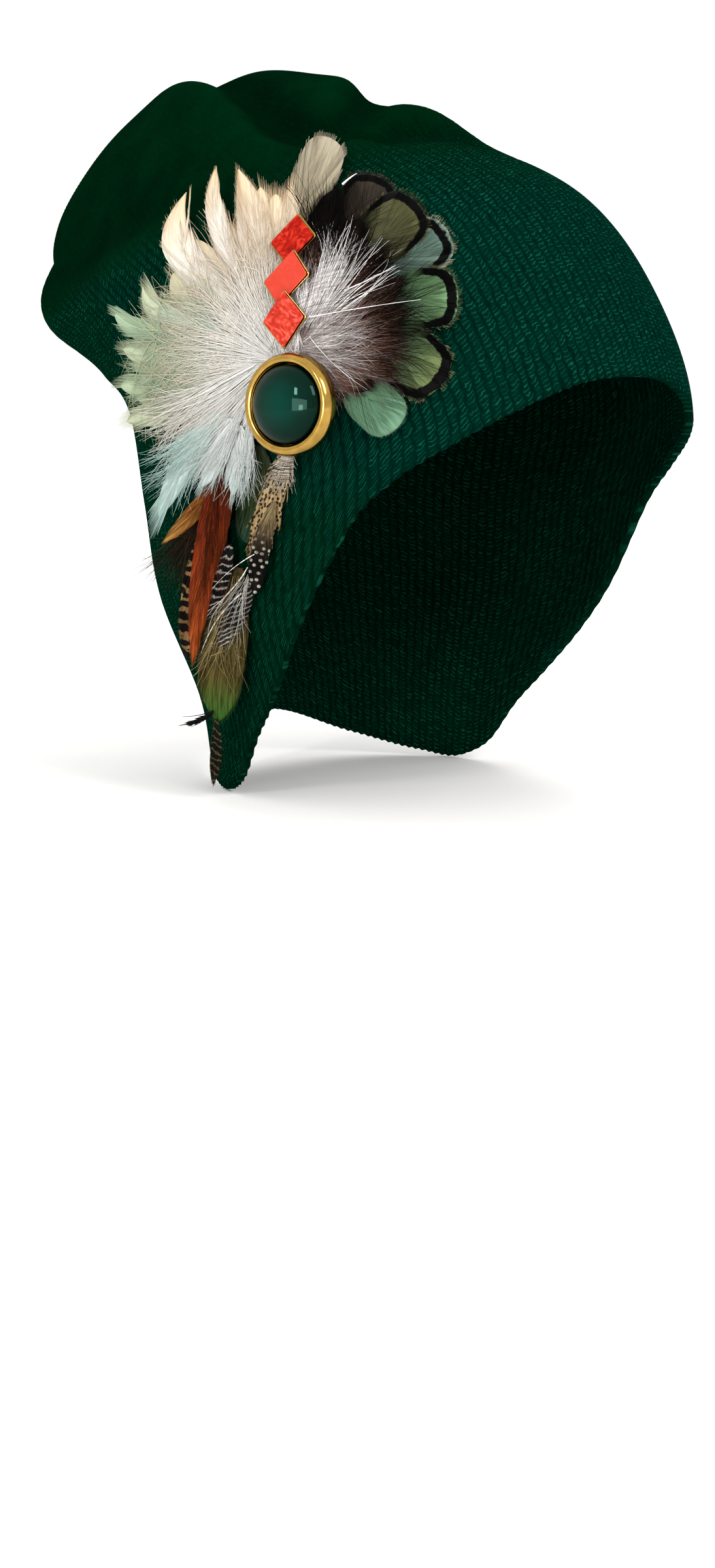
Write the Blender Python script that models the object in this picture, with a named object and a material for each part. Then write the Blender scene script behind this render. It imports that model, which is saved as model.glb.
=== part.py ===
"""A fine-ribbed slouchy knit beanie with a feather cockade and a domed brooch.

The beanie is modelled as a head holds it. The origin is the middle of the head opening at brow level, +Z is up,
the face looks along -Y and the wearer's left is +X. Tables are in millimetres and degrees, meshes in metres.
A turn is an angle round the hat: 0 at the forehead, 90 at the wearer's left, 180 at the nape.
"""

import math
from typing import NamedTuple

import bpy
import numpy as np
from mathutils import Vector
from mathutils.bvhtree import BVHTree

MM = 0.001

# Knit shell
KNIT_WALL = 2.6
SHELL_COLUMNS = 60
SHELL_ROWS = 26
BROW_NARROWING = 0.06
CROWN_LEAN_TURN = 19.0
RIM_TWIST = 6.0
RIM_LOWEST_STATION = -3.2
RIM_HIGHEST_STATION = 1.2
RIM_HALVINGS = 24

# Folds: samples along one, where its lip stands and how wide it is in half widths, and how it fades at its ends
FOLD_SAMPLES = 14
FOLD_LIP_OFFSET = 1.5
FOLD_LIP_WIDTH = 1.1
FOLD_FADE_START = 0.12
FOLD_FADE_SPAN = 0.82
FOLD_FADE_POWER = 0.6

# Cockade: where its middle sits on the hat, and the place it is laid out from, square to the sheet it is drawn on
BROOCH_SEAT = (-78.4, -40.3, 6.9)
LAYOUT_EYE = (-571.4, -758.2, 33.2)
LAYOUT_TURN = -35.9
LAYOUT_DIP = 9.4
BED_STEP = 3.0
BED_ACROSS = (-72.0, 69.0)
BED_UP = (-132.0, 96.0)
BED_STEEPEST = 0.9

# Feathers: thickness and camber of a blade, and the shares of its length and width that shape its outline
FEATHER_STEPS = 9
FEATHER_HALVES = (-1.0, 0.0, 1.0)
FEATHER_CAMBER = 0.35
FEATHER_THICKNESS = 0.65
FEATHER_QUILL_SHARE = 0.22
FEATHER_FULL_AT = 0.5
FEATHER_TAPER_AT = 0.62
FEATHER_TIP_SHARE = 0.1

# Plumes: the grid of a fan, and how its body thins to its root, sides, tips and between its locks
PLUME_ROOT_RADIUS = 1.6
PLUME_RINGS = 6
PLUME_LOCK_STEPS = 4
PLUME_LEVEL_AT = 0.6
PLUME_THINNEST = 0.7
PLUME_BODY_START = 0.12
PLUME_BODY_SPAN = 0.8
PLUME_SIDE_BODY = 0.3
PLUME_SIDE_SLOPE = 3.5
PLUME_VALLEY = 0.35

# Brooch
BROOCH_FACING_TURN = -69.0
BROOCH_FACING_RISE = 3.0
BROOCH_PLACE = (5.4, -0.4)
BROOCH_STAND_OFF = 4.6
BEZEL_RADIUS = 15.8
BEZEL_DEPTH = 6.4
BEZEL_FLOOR = 2.2
BEZEL_BACK_INSET = 3.2
BEZEL_EDGE_INSET = 0.8
BEZEL_EDGE_HEIGHT = 0.7
BEZEL_ROLL = 1.6
BEZEL_LIP_WIDTH = 0.35
BEZEL_LIP_HEIGHT = 0.9
BEZEL_LIP_DROP = 0.5
STONE_RADIUS = 12.0
STONE_DOME = 5.4
STONE_CHAMFER = 0.6
FIT_GAP = 0.3
ROUND_STEPS = 32
BEZEL_ARC_STEPS = 5
STONE_ARC_STEPS = 7

# Lozenges
LOZENGE_PLATE = 0.9
LOZENGE_TILE = 1.1
LOZENGE_INSET = 0.8


class Section(NamedTuple):
    """One ring of the knit tube, by its foremost and rearmost points and its half width."""

    station: float
    front_reach: float
    front_height: float
    back_reach: float
    back_height: float
    half_width: float


SECTIONS = (
    Section(-3.0, -72.0, -120.0, 76.0, -120.0, 60.0),
    Section(-2.3, -78.0, -95.0, 81.0, -95.0, 64.0),
    Section(-1.6, -90.0, -62.0, 94.0, -62.0, 76.0),
    Section(-0.8, -100.0, -30.0, 102.0, -30.0, 80.5),
    Section(0.0, -105.0, 0.0, 105.0, 0.0, 86.0),
    Section(1.0, -89.0, 40.0, 112.0, 11.0, 88.0),
    Section(2.0, -60.0, 74.0, 120.0, 19.0, 84.0),
    Section(3.0, -14.5, 94.0, 130.0, 28.0, 71.0),
    Section(4.0, 33.0, 113.5, 140.0, 35.0, 53.0),
    Section(5.0, 71.0, 114.0, 147.0, 45.0, 39.0),
    Section(6.0, 101.0, 102.0, 140.0, 60.0, 23.0),
    Section(6.6, 121.0, 88.0, 124.0, 84.0, 3.0),
)


class RimPoint(NamedTuple):
    """Height of the hem at a turn to either side of its highest point."""

    turn: float
    height: float


RIM = (
    RimPoint(0.0, 15.3),
    RimPoint(15.0, 13.0),
    RimPoint(25.0, 8.0),
    RimPoint(43.0, -5.0),
    RimPoint(55.0, -17.0),
    RimPoint(62.0, -28.0),
    RimPoint(67.0, -42.0),
    RimPoint(72.0, -57.0),
    RimPoint(79.0, -74.0),
    RimPoint(88.0, -90.0),
    RimPoint(97.0, -103.0),
    RimPoint(105.0, -117.0),
    RimPoint(113.0, -122.7),
    RimPoint(128.0, -122.0),
    RimPoint(150.0, -116.0),
    RimPoint(180.0, -106.0),
)


class Fold(NamedTuple):
    """A furrow from the tuck beside the cockade out over the crown, with a raised lip on one side."""

    name: str
    start_turn: float
    start_station: float
    middle_turn: float
    middle_station: float
    end_turn: float
    end_station: float
    depth: float
    half_width: float
    lip: float


FOLDS = (
    Fold("lobe_fold", -20.0, 3.12, -34.0, 3.35, 8.0, 5.3, 7.5, 8.0, 4.5),
    Fold("crown_fold", -14.0, 3.13, -2.0, 3.28, 38.0, 3.75, 4.5, 7.0, 2.5),
    Fold("brow_fold", -10.0, 2.98, 2.0, 2.88, 30.0, 2.65, 3.0, 6.5, 1.5),
    Fold("side_fold", -58.0, 3.0, -76.0, 3.2, -118.0, 3.5, 2.2, 9.0, 2.2),
)


class Swell(NamedTuple):
    """A soft rounded rise or hollow of the knit."""

    name: str
    turn: float
    station: float
    reach: float
    rise: float


SWELLS = (
    Swell("front_bump", 12.0, 3.08, 17.0, 4.5),
    Swell("rear_corner", -116.0, 3.2, 17.0, 9.0),
    Swell("lobe_back", -88.0, 4.2, 22.0, -3.0),
)


class Feather(NamedTuple):
    """One flat feather, by its root and tip on the layout, its bow to the side, and how high it lies."""

    name: str
    root_across: float
    root_up: float
    tip_across: float
    tip_up: float
    bow: float
    half_width: float
    lift: float
    blunt: float
    material: str


FEATHERS = (
    Feather("cream_top_feather", 1.8, 57.0, 14.0, 82.6, -0.4, 6.4, 1.0, 0.75, "cream_feather"),
    Feather("almond_feather_1", 21.5, 48.0, 26.5, 71.5, 0.0, 8.6, 1.0, 0.9, "almond_feather"),
    Feather("almond_feather_2", 21.0, 44.0, 41.0, 62.5, 0.0, 9.6, 2.2, 0.9, "almond_feather"),
    Feather("almond_feather_3", 29.0, 40.0, 50.4, 53.6, 0.0, 8.8, 1.0, 0.9, "almond_feather"),
    Feather("almond_feather_4", 30.5, 32.0, 53.6, 32.8, 0.0, 9.8, 2.2, 0.9, "almond_feather"),
    Feather("almond_feather_5", 27.0, 22.5, 48.6, 5.2, 0.0, 10.4, 1.0, 0.9, "almond_feather"),
    Feather("almond_feather_6", 17.5, 8.5, 34.4, -7.4, 0.0, 7.8, 2.2, 0.9, "almond_feather"),
    Feather("bronze_feather", -8.5, -12.5, -12.5, -43.5, 1.5, 5.6, 1.0, 0.55, "bronze_feather"),
    Feather("speckled_feather", 1.0, -13.0, -10.5, -51.0, -0.8, 4.8, 2.2, 0.4, "speckled_feather"),
    Feather("guinea_dot_feather", -3.5, -28.0, -9.0, -60.0, -1.0, 3.4, 3.4, 0.6, "guinea_feather"),
    Feather("rust_hackle", -19.5, -12.0, -29.0, -81.0, -0.8, 4.2, 4.6, 0.25, "rust_hackle"),
    Feather("golden_hackle", -20.0, -22.0, -38.0, -41.5, 0.6, 3.2, 3.4, 0.3, "golden_hackle"),
    Feather("barred_feather", -24.0, -36.0, -30.6, -79.0, -1.0, 4.0, 2.2, 0.35, "barred_feather"),
    Feather("guinea_bar_feather", -16.8, -42.0, -23.4, -65.5, 0.0, 3.8, 3.4, 0.6, "guinea_feather"),
    Feather("white_barred_feather", -10.5, -52.0, -22.5, -76.0, 0.5, 4.6, 2.2, 0.45, "guinea_feather"),
    Feather("olive_feather", -15.0, -50.0, -21.0, -98.5, -1.5, 7.4, 1.0, 0.4, "olive_feather"),
    Feather("hem_feather", -21.6, -96.5, -22.6, -117.2, 0.4, 1.8, 2.2, 0.2, "barred_feather"),
    Feather("black_wisp", -22.6, -94.4, -32.4, -98.3, 0.6, 1.1, 2.0, 0.2, "black_feather"),
    Feather("white_lower_feather_1", -20.5, -3.0, -41.5, -40.5, -1.9, 5.4, 5.8, 0.3, "cream_feather"),
    Feather("white_lower_feather_2", -17.0, -4.5, -27.5, -30.5, 0.0, 5.2, 7.0, 0.35, "cream_feather"),
    Feather("white_lower_feather_3", -14.0, -6.5, -18.0, -31.5, 0.0, 3.8, 5.8, 0.35, "cream_feather"),
)


class Lock(NamedTuple):
    """One lock of a plume, by the bearing of its tip (0 to the right, 90 up) and its reach."""

    bearing: float
    reach: float


class Plume(NamedTuple):
    """A fan of locks on one backing."""

    name: str
    across: float
    up: float
    first_edge: float
    locks: tuple
    root_lift: float
    tip_lift: float
    thickness: float
    notch: float
    material: str


WHITE_PLUME = Plume(
    "white_plume", -3.4, 15.5, 79.5,
    (Lock(86.0, 54.0), Lock(99.0, 58.0), Lock(107.0, 60.0), Lock(116.5, 57.0), Lock(134.0, 52.0),
     Lock(150.5, 47.5), Lock(164.0, 54.0), Lock(177.0, 47.5), Lock(190.5, 52.5), Lock(205.0, 50.5)),
    1.0, 2.3, 3.2, 0.13, "cream_feather",
)
BROWN_PLUME = Plume(
    "brown_plume", 1.8, 16.5, 82.0,
    (Lock(75.0, 53.5), Lock(62.0, 47.5), Lock(48.0, 44.5), Lock(33.0, 43.5), Lock(19.0, 39.5),
     Lock(5.0, 36.0), Lock(-10.0, 34.0), Lock(-26.0, 31.0), Lock(-42.0, 25.0)),
    1.0, 3.4, 3.0, 0.1, "brown_fur",
)
PLUMES = (WHITE_PLUME, BROWN_PLUME)


class Lozenge(NamedTuple):
    """A lozenge by its corners on the layout, with the height of its top and of its foot."""

    name: str
    top: tuple
    right: tuple
    left: tuple
    top_lift: float
    foot_lift: float


LOZENGES = (
    Lozenge("upper", (3.6, 58.6), (9.1, 51.6), (-5.3, 49.2), 5.6, 4.6),
    Lozenge("middle", (2.2, 47.6), (7.1, 39.8), (-7.3, 37.2), 8.4, 5.2),
    Lozenge("lower", (-0.8, 35.2), (6.1, 26.8), (-7.6, 24.9), 9.0, 5.6),
)


class Finish(NamedTuple):
    """Colour, roughness and metallic value of a material."""

    colour: tuple
    roughness: float
    metallic: float


FINISHES = {
    "knit_green": Finish((0.005, 0.075, 0.045), 0.85, 0.0),
    "cream_feather": Finish((0.75, 0.68, 0.52), 0.7, 0.0),
    "brown_fur": Finish((0.22, 0.16, 0.13), 0.75, 0.0),
    "almond_feather": Finish((0.3, 0.42, 0.27), 0.55, 0.0),
    "bronze_feather": Finish((0.12, 0.13, 0.06), 0.5, 0.0),
    "speckled_feather": Finish((0.55, 0.42, 0.25), 0.65, 0.0),
    "guinea_feather": Finish((0.3, 0.3, 0.29), 0.6, 0.0),
    "rust_hackle": Finish((0.42, 0.12, 0.025), 0.45, 0.0),
    "golden_hackle": Finish((0.4, 0.2, 0.05), 0.45, 0.0),
    "barred_feather": Finish((0.13, 0.07, 0.04), 0.55, 0.0),
    "olive_feather": Finish((0.28, 0.25, 0.07), 0.55, 0.0),
    "black_feather": Finish((0.012, 0.012, 0.014), 0.5, 0.0),
    "gold": Finish((0.83, 0.6, 0.22), 0.22, 1.0),
    "coral": Finish((0.72, 0.1, 0.05), 0.35, 0.0),
    "green_stone": Finish((0.0, 0.07, 0.045), 0.08, 0.0),
}


def clear_scene():
    """Remove what the startup scene holds."""
    for obj in list(bpy.data.objects):
        bpy.data.objects.remove(obj, do_unlink=True)


def material(name):
    """The Principled material of that finish, made on first use."""
    found = bpy.data.materials.get(name)
    if found:
        return found
    finish = FINISHES[name]
    made = bpy.data.materials.new(name)
    made.use_nodes = True
    shader = made.node_tree.nodes["Principled BSDF"]
    shader.inputs["Base Color"].default_value = (*finish.colour, 1.0)
    shader.inputs["Roughness"].default_value = finish.roughness
    shader.inputs["Metallic"].default_value = finish.metallic
    return made


def add_part(name, points, faces, material_name, sharp_angle=50.0):
    """One named object from points in millimetres."""
    mesh = bpy.data.meshes.new(name)
    mesh.from_pydata([tuple(point * MM) for point in np.asarray(points, float)], [], faces)
    mesh.validate()
    mesh.shade_smooth()
    mesh.set_sharp_from_angle(angle=math.radians(sharp_angle))
    mesh.materials.append(material(material_name))
    obj = bpy.data.objects.new(name, mesh)
    bpy.context.scene.collection.objects.link(obj)
    return obj


def smooth(keys, values, wanted):
    """Values read off a smooth curve through a table's rows."""
    keys = np.asarray(keys, float)
    values = np.asarray(values, float)
    wanted = np.asarray(wanted, float)
    values = values.reshape(len(keys), -1)
    spans = np.diff(keys)
    slopes = np.diff(values, axis=0) / spans[:, None]
    tangents = np.empty_like(values)
    tangents[0], tangents[-1] = slopes[0], slopes[-1]
    before, after = spans[:-1, None], spans[1:, None]
    tangents[1:-1] = (after * slopes[:-1] + before * slopes[1:]) / (before + after)
    row = np.clip(np.searchsorted(keys, wanted, side="right") - 1, 0, len(keys) - 2)
    span = spans[row][..., None]
    t = (wanted[..., None] - keys[row][..., None]) / span
    return (
        (2 * t**3 - 3 * t**2 + 1) * values[row]
        + (t**3 - 2 * t**2 + t) * span * tangents[row]
        + (3 * t**2 - 2 * t**3) * values[row + 1]
        + (t**3 - t**2) * span * tangents[row + 1]
    )


def lean_axes():
    """The way the crown leans, and the level direction across it."""
    lean = math.radians(CROWN_LEAN_TURN)
    back = np.array([-math.sin(lean), math.cos(lean), 0.0])
    across = np.array([math.cos(lean), math.sin(lean), 0.0])
    return back, across


def ring_points(stations, turns):
    """Points of the unfolded knit at these stations and turns."""
    table = np.array(SECTIONS)
    row = smooth(table[:, 0], table[:, 1:], stations)
    front_reach, front_height, back_reach, back_height, half_width = np.moveaxis(row, -1, 0)
    half_length = 0.5 * np.hypot(back_reach - front_reach, front_height - back_height)
    lean = np.arctan2(front_height - back_height, back_reach - front_reach)
    turn = np.radians(turns)
    x = half_width * np.sin(turn) * (1.0 - BROW_NARROWING * np.cos(turn))
    y = -half_length * np.cos(turn)
    back, across = lean_axes()
    along_back = x * back[0] + y * back[1]
    along_across = x * across[0] + y * across[1]
    reach = (front_reach + back_reach) / 2 + along_back * np.cos(lean)
    height = (front_height + back_height) / 2 - along_back * np.sin(lean)
    up = np.array([0.0, 0.0, 1.0])
    return reach[..., None] * back + along_across[..., None] * across + height[..., None] * up


def rim_heights(turns):
    """Height of the hem at each turn: the table read to both sides of its highest point."""
    table = np.array(RIM)
    away = np.abs((turns - RIM_TWIST + 180.0) % 360.0 - 180.0)
    keys = np.concatenate([-table[:0:-1, 0], table[:, 0], 360.0 - table[-2::-1, 0]])
    values = np.concatenate([table[:0:-1, 1], table[:, 1], table[-2::-1, 1]])
    return smooth(keys, values, away)[..., 0]


def rim_stations(turns):
    """The station at which each column of the knit meets the hem, by halving."""
    wanted = rim_heights(turns)
    low = np.full(len(turns), RIM_LOWEST_STATION)
    high = np.full(len(turns), RIM_HIGHEST_STATION)
    for _ in range(RIM_HALVINGS):
        middle = (low + high) / 2
        below = ring_points(middle, turns)[:, 2] < wanted
        low = np.where(below, middle, low)
        high = np.where(below, high, middle)
    return (low + high) / 2


def normals_of(grid):
    """Outward unit normals of a grid of rows that go round."""
    round_way = np.roll(grid, -1, axis=1) - np.roll(grid, 1, axis=1)
    up_way = np.gradient(grid, axis=0)
    normal = np.cross(round_way, up_way)
    return normal / np.maximum(np.linalg.norm(normal, axis=2, keepdims=True), 1e-9)


def fold_path(fold):
    """Points along the middle of a fold's furrow."""
    t = np.linspace(0.0, 1.0, FOLD_SAMPLES)
    ends = ((1 - t) ** 2, 2 * t * (1 - t), t**2)
    turns = ends[0] * fold.start_turn + ends[1] * fold.middle_turn + ends[2] * fold.end_turn
    stations = ends[0] * fold.start_station + ends[1] * fold.middle_station + ends[2] * fold.end_station
    return ring_points(stations, turns)


def fold_push(fold, grid, normals):
    """How far a fold moves each point of the grid along its normal."""
    path = fold_path(fold)
    nearest = np.full(grid.shape[:2], np.inf)
    signed = np.zeros(grid.shape[:2])
    share = np.zeros(grid.shape[:2])
    steps = len(path) - 1
    for number, (start, end) in enumerate(zip(path[:-1], path[1:])):
        along = end - start
        length = np.linalg.norm(along)
        offset = grid - start
        t = np.clip(offset @ along / length**2, 0.0, 1.0)
        away = offset - t[..., None] * along
        distance = np.linalg.norm(away, axis=2)
        side = np.sign(np.sum(np.cross(along, away) * normals, axis=2))
        closer = distance < nearest
        nearest = np.where(closer, distance, nearest)
        signed = np.where(closer, side * distance, signed)
        share = np.where(closer, (number + t) / steps, share)
    strength = np.sin(np.pi * (FOLD_FADE_START + FOLD_FADE_SPAN * share)) ** FOLD_FADE_POWER
    furrow = -fold.depth * np.exp(-((signed / fold.half_width) ** 2))
    off_lip = (signed / fold.half_width - FOLD_LIP_OFFSET) / FOLD_LIP_WIDTH
    lip = fold.lip * np.exp(-(off_lip**2))
    return strength * (furrow + lip)


def swell_push(swell, grid):
    """How far a swell moves each point of the grid along its normal."""
    middle = ring_points(np.array([swell.station]), np.array([swell.turn]))[0]
    distance = np.linalg.norm(grid - middle, axis=2)
    return swell.rise * np.exp(-((distance / swell.reach) ** 2))


def shell_grid(columns, rows):
    """The outer face of the knit as a grid: rows from the hem to the closed end, columns round the head."""
    turns = np.arange(columns) * 360.0 / columns
    first = rim_stations(turns)
    steps = np.linspace(0.0, 1.0, rows)[:, None]
    stations = first + (SECTIONS[-1].station - first) * steps
    plain = ring_points(stations, np.broadcast_to(turns, stations.shape))
    normals = normals_of(plain)
    push = sum(fold_push(fold, plain, normals) for fold in FOLDS)
    push = push + sum(swell_push(swell, plain) for swell in SWELLS)
    return plain + normals * push[..., None]


def ring_faces(rows, columns, first=0, flip=False):
    """Quads between rows that go round."""
    faces = []
    for row in range(rows - 1):
        for column in range(columns):
            beside = (column + 1) % columns
            face = (
                first + row * columns + column,
                first + row * columns + beside,
                first + (row + 1) * columns + beside,
                first + (row + 1) * columns + column,
            )
            faces.append(face[::-1] if flip else face)
    return faces


def build_shell():
    """The knit: an outer and an inner face joined round the hem, each closed at the crown's end."""
    outer = shell_grid(SHELL_COLUMNS, SHELL_ROWS)
    inner = outer - normals_of(outer) * KNIT_WALL
    inner[0, :, 2] = outer[0, :, 2]
    count = outer.shape[0] * outer.shape[1]
    points = np.concatenate([outer.reshape(-1, 3), inner.reshape(-1, 3)])
    tip_out = outer[-1].mean(axis=0)
    tip_in = inner[-1].mean(axis=0)
    points = np.concatenate([points, [tip_out, tip_in]])
    faces = ring_faces(SHELL_ROWS, SHELL_COLUMNS)
    faces += ring_faces(SHELL_ROWS, SHELL_COLUMNS, first=count, flip=True)
    last = (SHELL_ROWS - 1) * SHELL_COLUMNS
    for column in range(SHELL_COLUMNS):
        beside = (column + 1) % SHELL_COLUMNS
        faces.append((column, column + count, beside + count, beside))
        faces.append((last + column, last + beside, 2 * count))
        faces.append((count + last + beside, count + last + column, 2 * count + 1))
    add_part("knit_shell", points, faces, "knit_green")
    return outer


class Bed:
    """The side of the hat that the cockade is laid on, seen from the layout's eye."""

    def __init__(self, outer):
        rows, columns = outer.shape[:2]
        faces = ring_faces(rows, columns)
        self.tree = BVHTree.FromPolygons([Vector(point) for point in outer.reshape(-1, 3)], faces)
        self.eye = np.array(LAYOUT_EYE)
        self.middle = np.array(BROOCH_SEAT)
        turn, dip = math.radians(LAYOUT_TURN), math.radians(LAYOUT_DIP)
        self.right = np.array([math.cos(turn), math.sin(turn), 0.0])
        forward = np.array([-math.sin(turn) * math.cos(dip), math.cos(turn) * math.cos(dip), -math.sin(dip)])
        self.up = np.cross(self.right, forward)
        self.across = np.arange(BED_ACROSS[0], BED_ACROSS[1] + BED_STEP, BED_STEP)
        self.rise = np.arange(BED_UP[0], BED_UP[1] + BED_STEP, BED_STEP)
        self.ranges = self.slope_limited(self.measured())

    def ray(self, across, up):
        """Unit direction from the eye through a place on the layout."""
        point = self.middle + self.right * across + self.up * up
        direction = point - self.eye
        return direction / np.linalg.norm(direction)

    def measured(self):
        """Distance to the knit along each ray of the layout, infinite where it misses."""
        ranges = np.full((len(self.rise), len(self.across)), np.inf)
        for row, up in enumerate(self.rise):
            for column, across in enumerate(self.across):
                hit = self.tree.ray_cast(Vector(self.eye), Vector(self.ray(across, up)))
                if hit[0] is not None:
                    ranges[row, column] = hit[3]
        return ranges

    def slope_limited(self, ranges):
        """The same distances where stiff feathers stand off the knit instead of following a steep drop."""
        offsets = ((0, 1), (1, 0), (1, 1), (1, -1))
        for _ in range(len(self.rise)):
            before = ranges.copy()
            for row_step, column_step in offsets:
                most = BED_STEEPEST * BED_STEP * math.hypot(row_step, column_step)
                for sign in (1, -1):
                    moved = np.roll(ranges, (sign * row_step, sign * column_step), axis=(0, 1))
                    if row_step:
                        moved[0 if sign > 0 else -1, :] = np.inf
                    if column_step:
                        moved[:, 0 if sign * column_step > 0 else -1] = np.inf
                    ranges = np.minimum(ranges, moved + most)
            if np.array_equal(before, ranges):
                break
        return ranges

    def range_at(self, across, up):
        """Distance from the eye to the bed at any place on the layout."""
        column = np.clip((across - self.across[0]) / BED_STEP, 0, len(self.across) - 1.001)
        row = np.clip((up - self.rise[0]) / BED_STEP, 0, len(self.rise) - 1.001)
        i, j = int(row), int(column)
        v, u = row - i, column - j
        low = self.ranges[i, j] * (1 - u) + self.ranges[i, j + 1] * u
        high = self.ranges[i + 1, j] * (1 - u) + self.ranges[i + 1, j + 1] * u
        return low * (1 - v) + high * v

    def seat(self, across, up, lift):
        """The point at this place on the layout, this far off the bed."""
        return self.eye + self.ray(across, up) * (self.range_at(across, up) - lift)


def add_slab(name, top, bottom, material_name):
    """A closed slab between two grids of points that match."""
    rows, columns = top.shape[:2]
    count = rows * columns
    points = np.concatenate([top.reshape(-1, 3), bottom.reshape(-1, 3)])
    faces = []
    for row in range(rows - 1):
        for column in range(columns - 1):
            a = row * columns + column
            quad = (a, a + 1, a + columns + 1, a + columns)
            faces.append(quad)
            faces.append(tuple(index + count for index in reversed(quad)))
    border = [column for column in range(columns)]
    border += [row * columns + columns - 1 for row in range(1, rows)]
    border += [(rows - 1) * columns + column for column in range(columns - 2, -1, -1)]
    border += [row * columns for row in range(rows - 2, 0, -1)]
    for here, there in zip(border, border[1:] + border[:1]):
        faces.append((there, here, here + count, there + count))
    return add_part(name, points, faces, material_name)


def facing(top, bottom, eye):
    """The two grids in the order that makes a slab's faces point out."""
    across = top[0, 1] - top[0, 0]
    along = top[1, 0] - top[0, 0]
    return (top, bottom) if np.cross(across, along) @ (eye - top[0, 0]) > 0 else (top[:, ::-1], bottom[:, ::-1])


def feather_width(share, blunt):
    """Half width of a feather along its length, as a share of its widest."""
    widening = math.sin(math.pi / 2 * min(share / FEATHER_FULL_AT, 1.0)) ** 0.8
    past = max(share - FEATHER_TAPER_AT, 0.0) / (1.0 - FEATHER_TAPER_AT)
    tip = (1.0 - past ** (1.0 + 3.0 * blunt)) ** (0.85 - 0.35 * blunt)
    return (FEATHER_QUILL_SHARE + (1.0 - FEATHER_QUILL_SHARE) * widening) * max(tip, FEATHER_TIP_SHARE)


def build_feather(feather, bed):
    """A thin cambered blade along a bowed line on the bed."""
    root = np.array([feather.root_across, feather.root_up])
    tip = np.array([feather.tip_across, feather.tip_up])
    along = tip - root
    side = np.array([-along[1], along[0]]) / np.linalg.norm(along)
    top = np.empty((FEATHER_STEPS, len(FEATHER_HALVES), 3))
    bottom = np.empty_like(top)
    for step, share in enumerate(np.linspace(0.0, 1.0, FEATHER_STEPS)):
        spine = root + along * share + side * feather.bow * 4.0 * share * (1.0 - share)
        width = feather.half_width * feather_width(share, feather.blunt)
        for column, half in enumerate(FEATHER_HALVES):
            place = spine + side * width * half
            camber = FEATHER_CAMBER * (1.0 - half * half)
            bottom[step, column] = bed.seat(*place, feather.lift)
            top[step, column] = bed.seat(*place, feather.lift + FEATHER_THICKNESS * 0.5 + camber)
    top, bottom = facing(top, bottom, bed.eye)
    return add_slab(feather.name, top, bottom, feather.material)


def plume_outline(plume):
    """Bearings round a plume with its reach at each: pointed locks with notches between them."""
    turn_way = 1.0 if plume.locks[0].bearing > plume.first_edge else -1.0
    tips = [lock.bearing for lock in plume.locks]
    edges = [plume.first_edge]
    edges += [(a + b) / 2 for a, b in zip(tips, tips[1:])]
    edges.append(tips[-1] + turn_way * abs(tips[-1] - edges[-1]))
    bearings, reaches, ridges = [], [], []
    for lock, start, end in zip(plume.locks, edges, edges[1:]):
        for step in range(PLUME_LOCK_STEPS):
            share = step / PLUME_LOCK_STEPS
            off_tip = abs(2.0 * share - 1.0)
            bearings.append(start + (end - start) * share)
            reaches.append(lock.reach * (1.0 - plume.notch * off_tip**1.4))
            ridges.append(1.0 - PLUME_VALLEY * off_tip)
    bearings.append(edges[-1])
    reaches.append(plume.locks[-1].reach * (1.0 - plume.notch))
    ridges.append(1.0 - PLUME_VALLEY)
    return np.radians(bearings), np.array(reaches), np.array(ridges)


def build_plume(plume, bed):
    """A fan of locks: thickest in its middle, thinning to its sides and tips."""
    bearings, reaches, ridges = plume_outline(plume)
    columns = len(bearings)
    top = np.empty((PLUME_RINGS, columns, 3))
    bottom = np.empty_like(top)
    for ring in range(PLUME_RINGS):
        share = ring / (PLUME_RINGS - 1)
        for column, (bearing, reach) in enumerate(zip(bearings, reaches)):
            radius = PLUME_ROOT_RADIUS + (reach - PLUME_ROOT_RADIUS) * share
            across = plume.across + radius * math.cos(bearing)
            up = plume.up + radius * math.sin(bearing)
            lift = plume.root_lift + (plume.tip_lift - plume.root_lift) * min(share / PLUME_LEVEL_AT, 1.0)
            off_side = min(column, columns - 1 - column) / (columns - 1)
            body = math.sin(math.pi * (PLUME_BODY_START + PLUME_BODY_SPAN * share))
            body *= min(1.0, PLUME_SIDE_BODY + PLUME_SIDE_SLOPE * off_side)
            thickness = PLUME_THINNEST + plume.thickness * body * ridges[column]
            bottom[ring, column] = bed.seat(across, up, lift)
            top[ring, column] = bed.seat(across, up, lift + thickness)
    top, bottom = facing(top, bottom, bed.eye)
    return add_slab(plume.name, top, bottom, plume.material)


def lozenge_slab(name, corners, heights, low, high, bed, material_name):
    """A flat four-cornered slab whose height runs from its top corner to its foot."""
    top = np.array([bed.seat(*corner, height + high) for corner, height in zip(corners, heights)])
    bottom = np.array([bed.seat(*corner, height + low) for corner, height in zip(corners, heights)])
    points = np.concatenate([top, bottom])
    faces = [(0, 3, 2, 1), (4, 5, 6, 7)]
    faces += [(a, (a + 1) % 4, (a + 1) % 4 + 4, a + 4) for a in range(4)]
    return add_part(name, points, faces, material_name)


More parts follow.
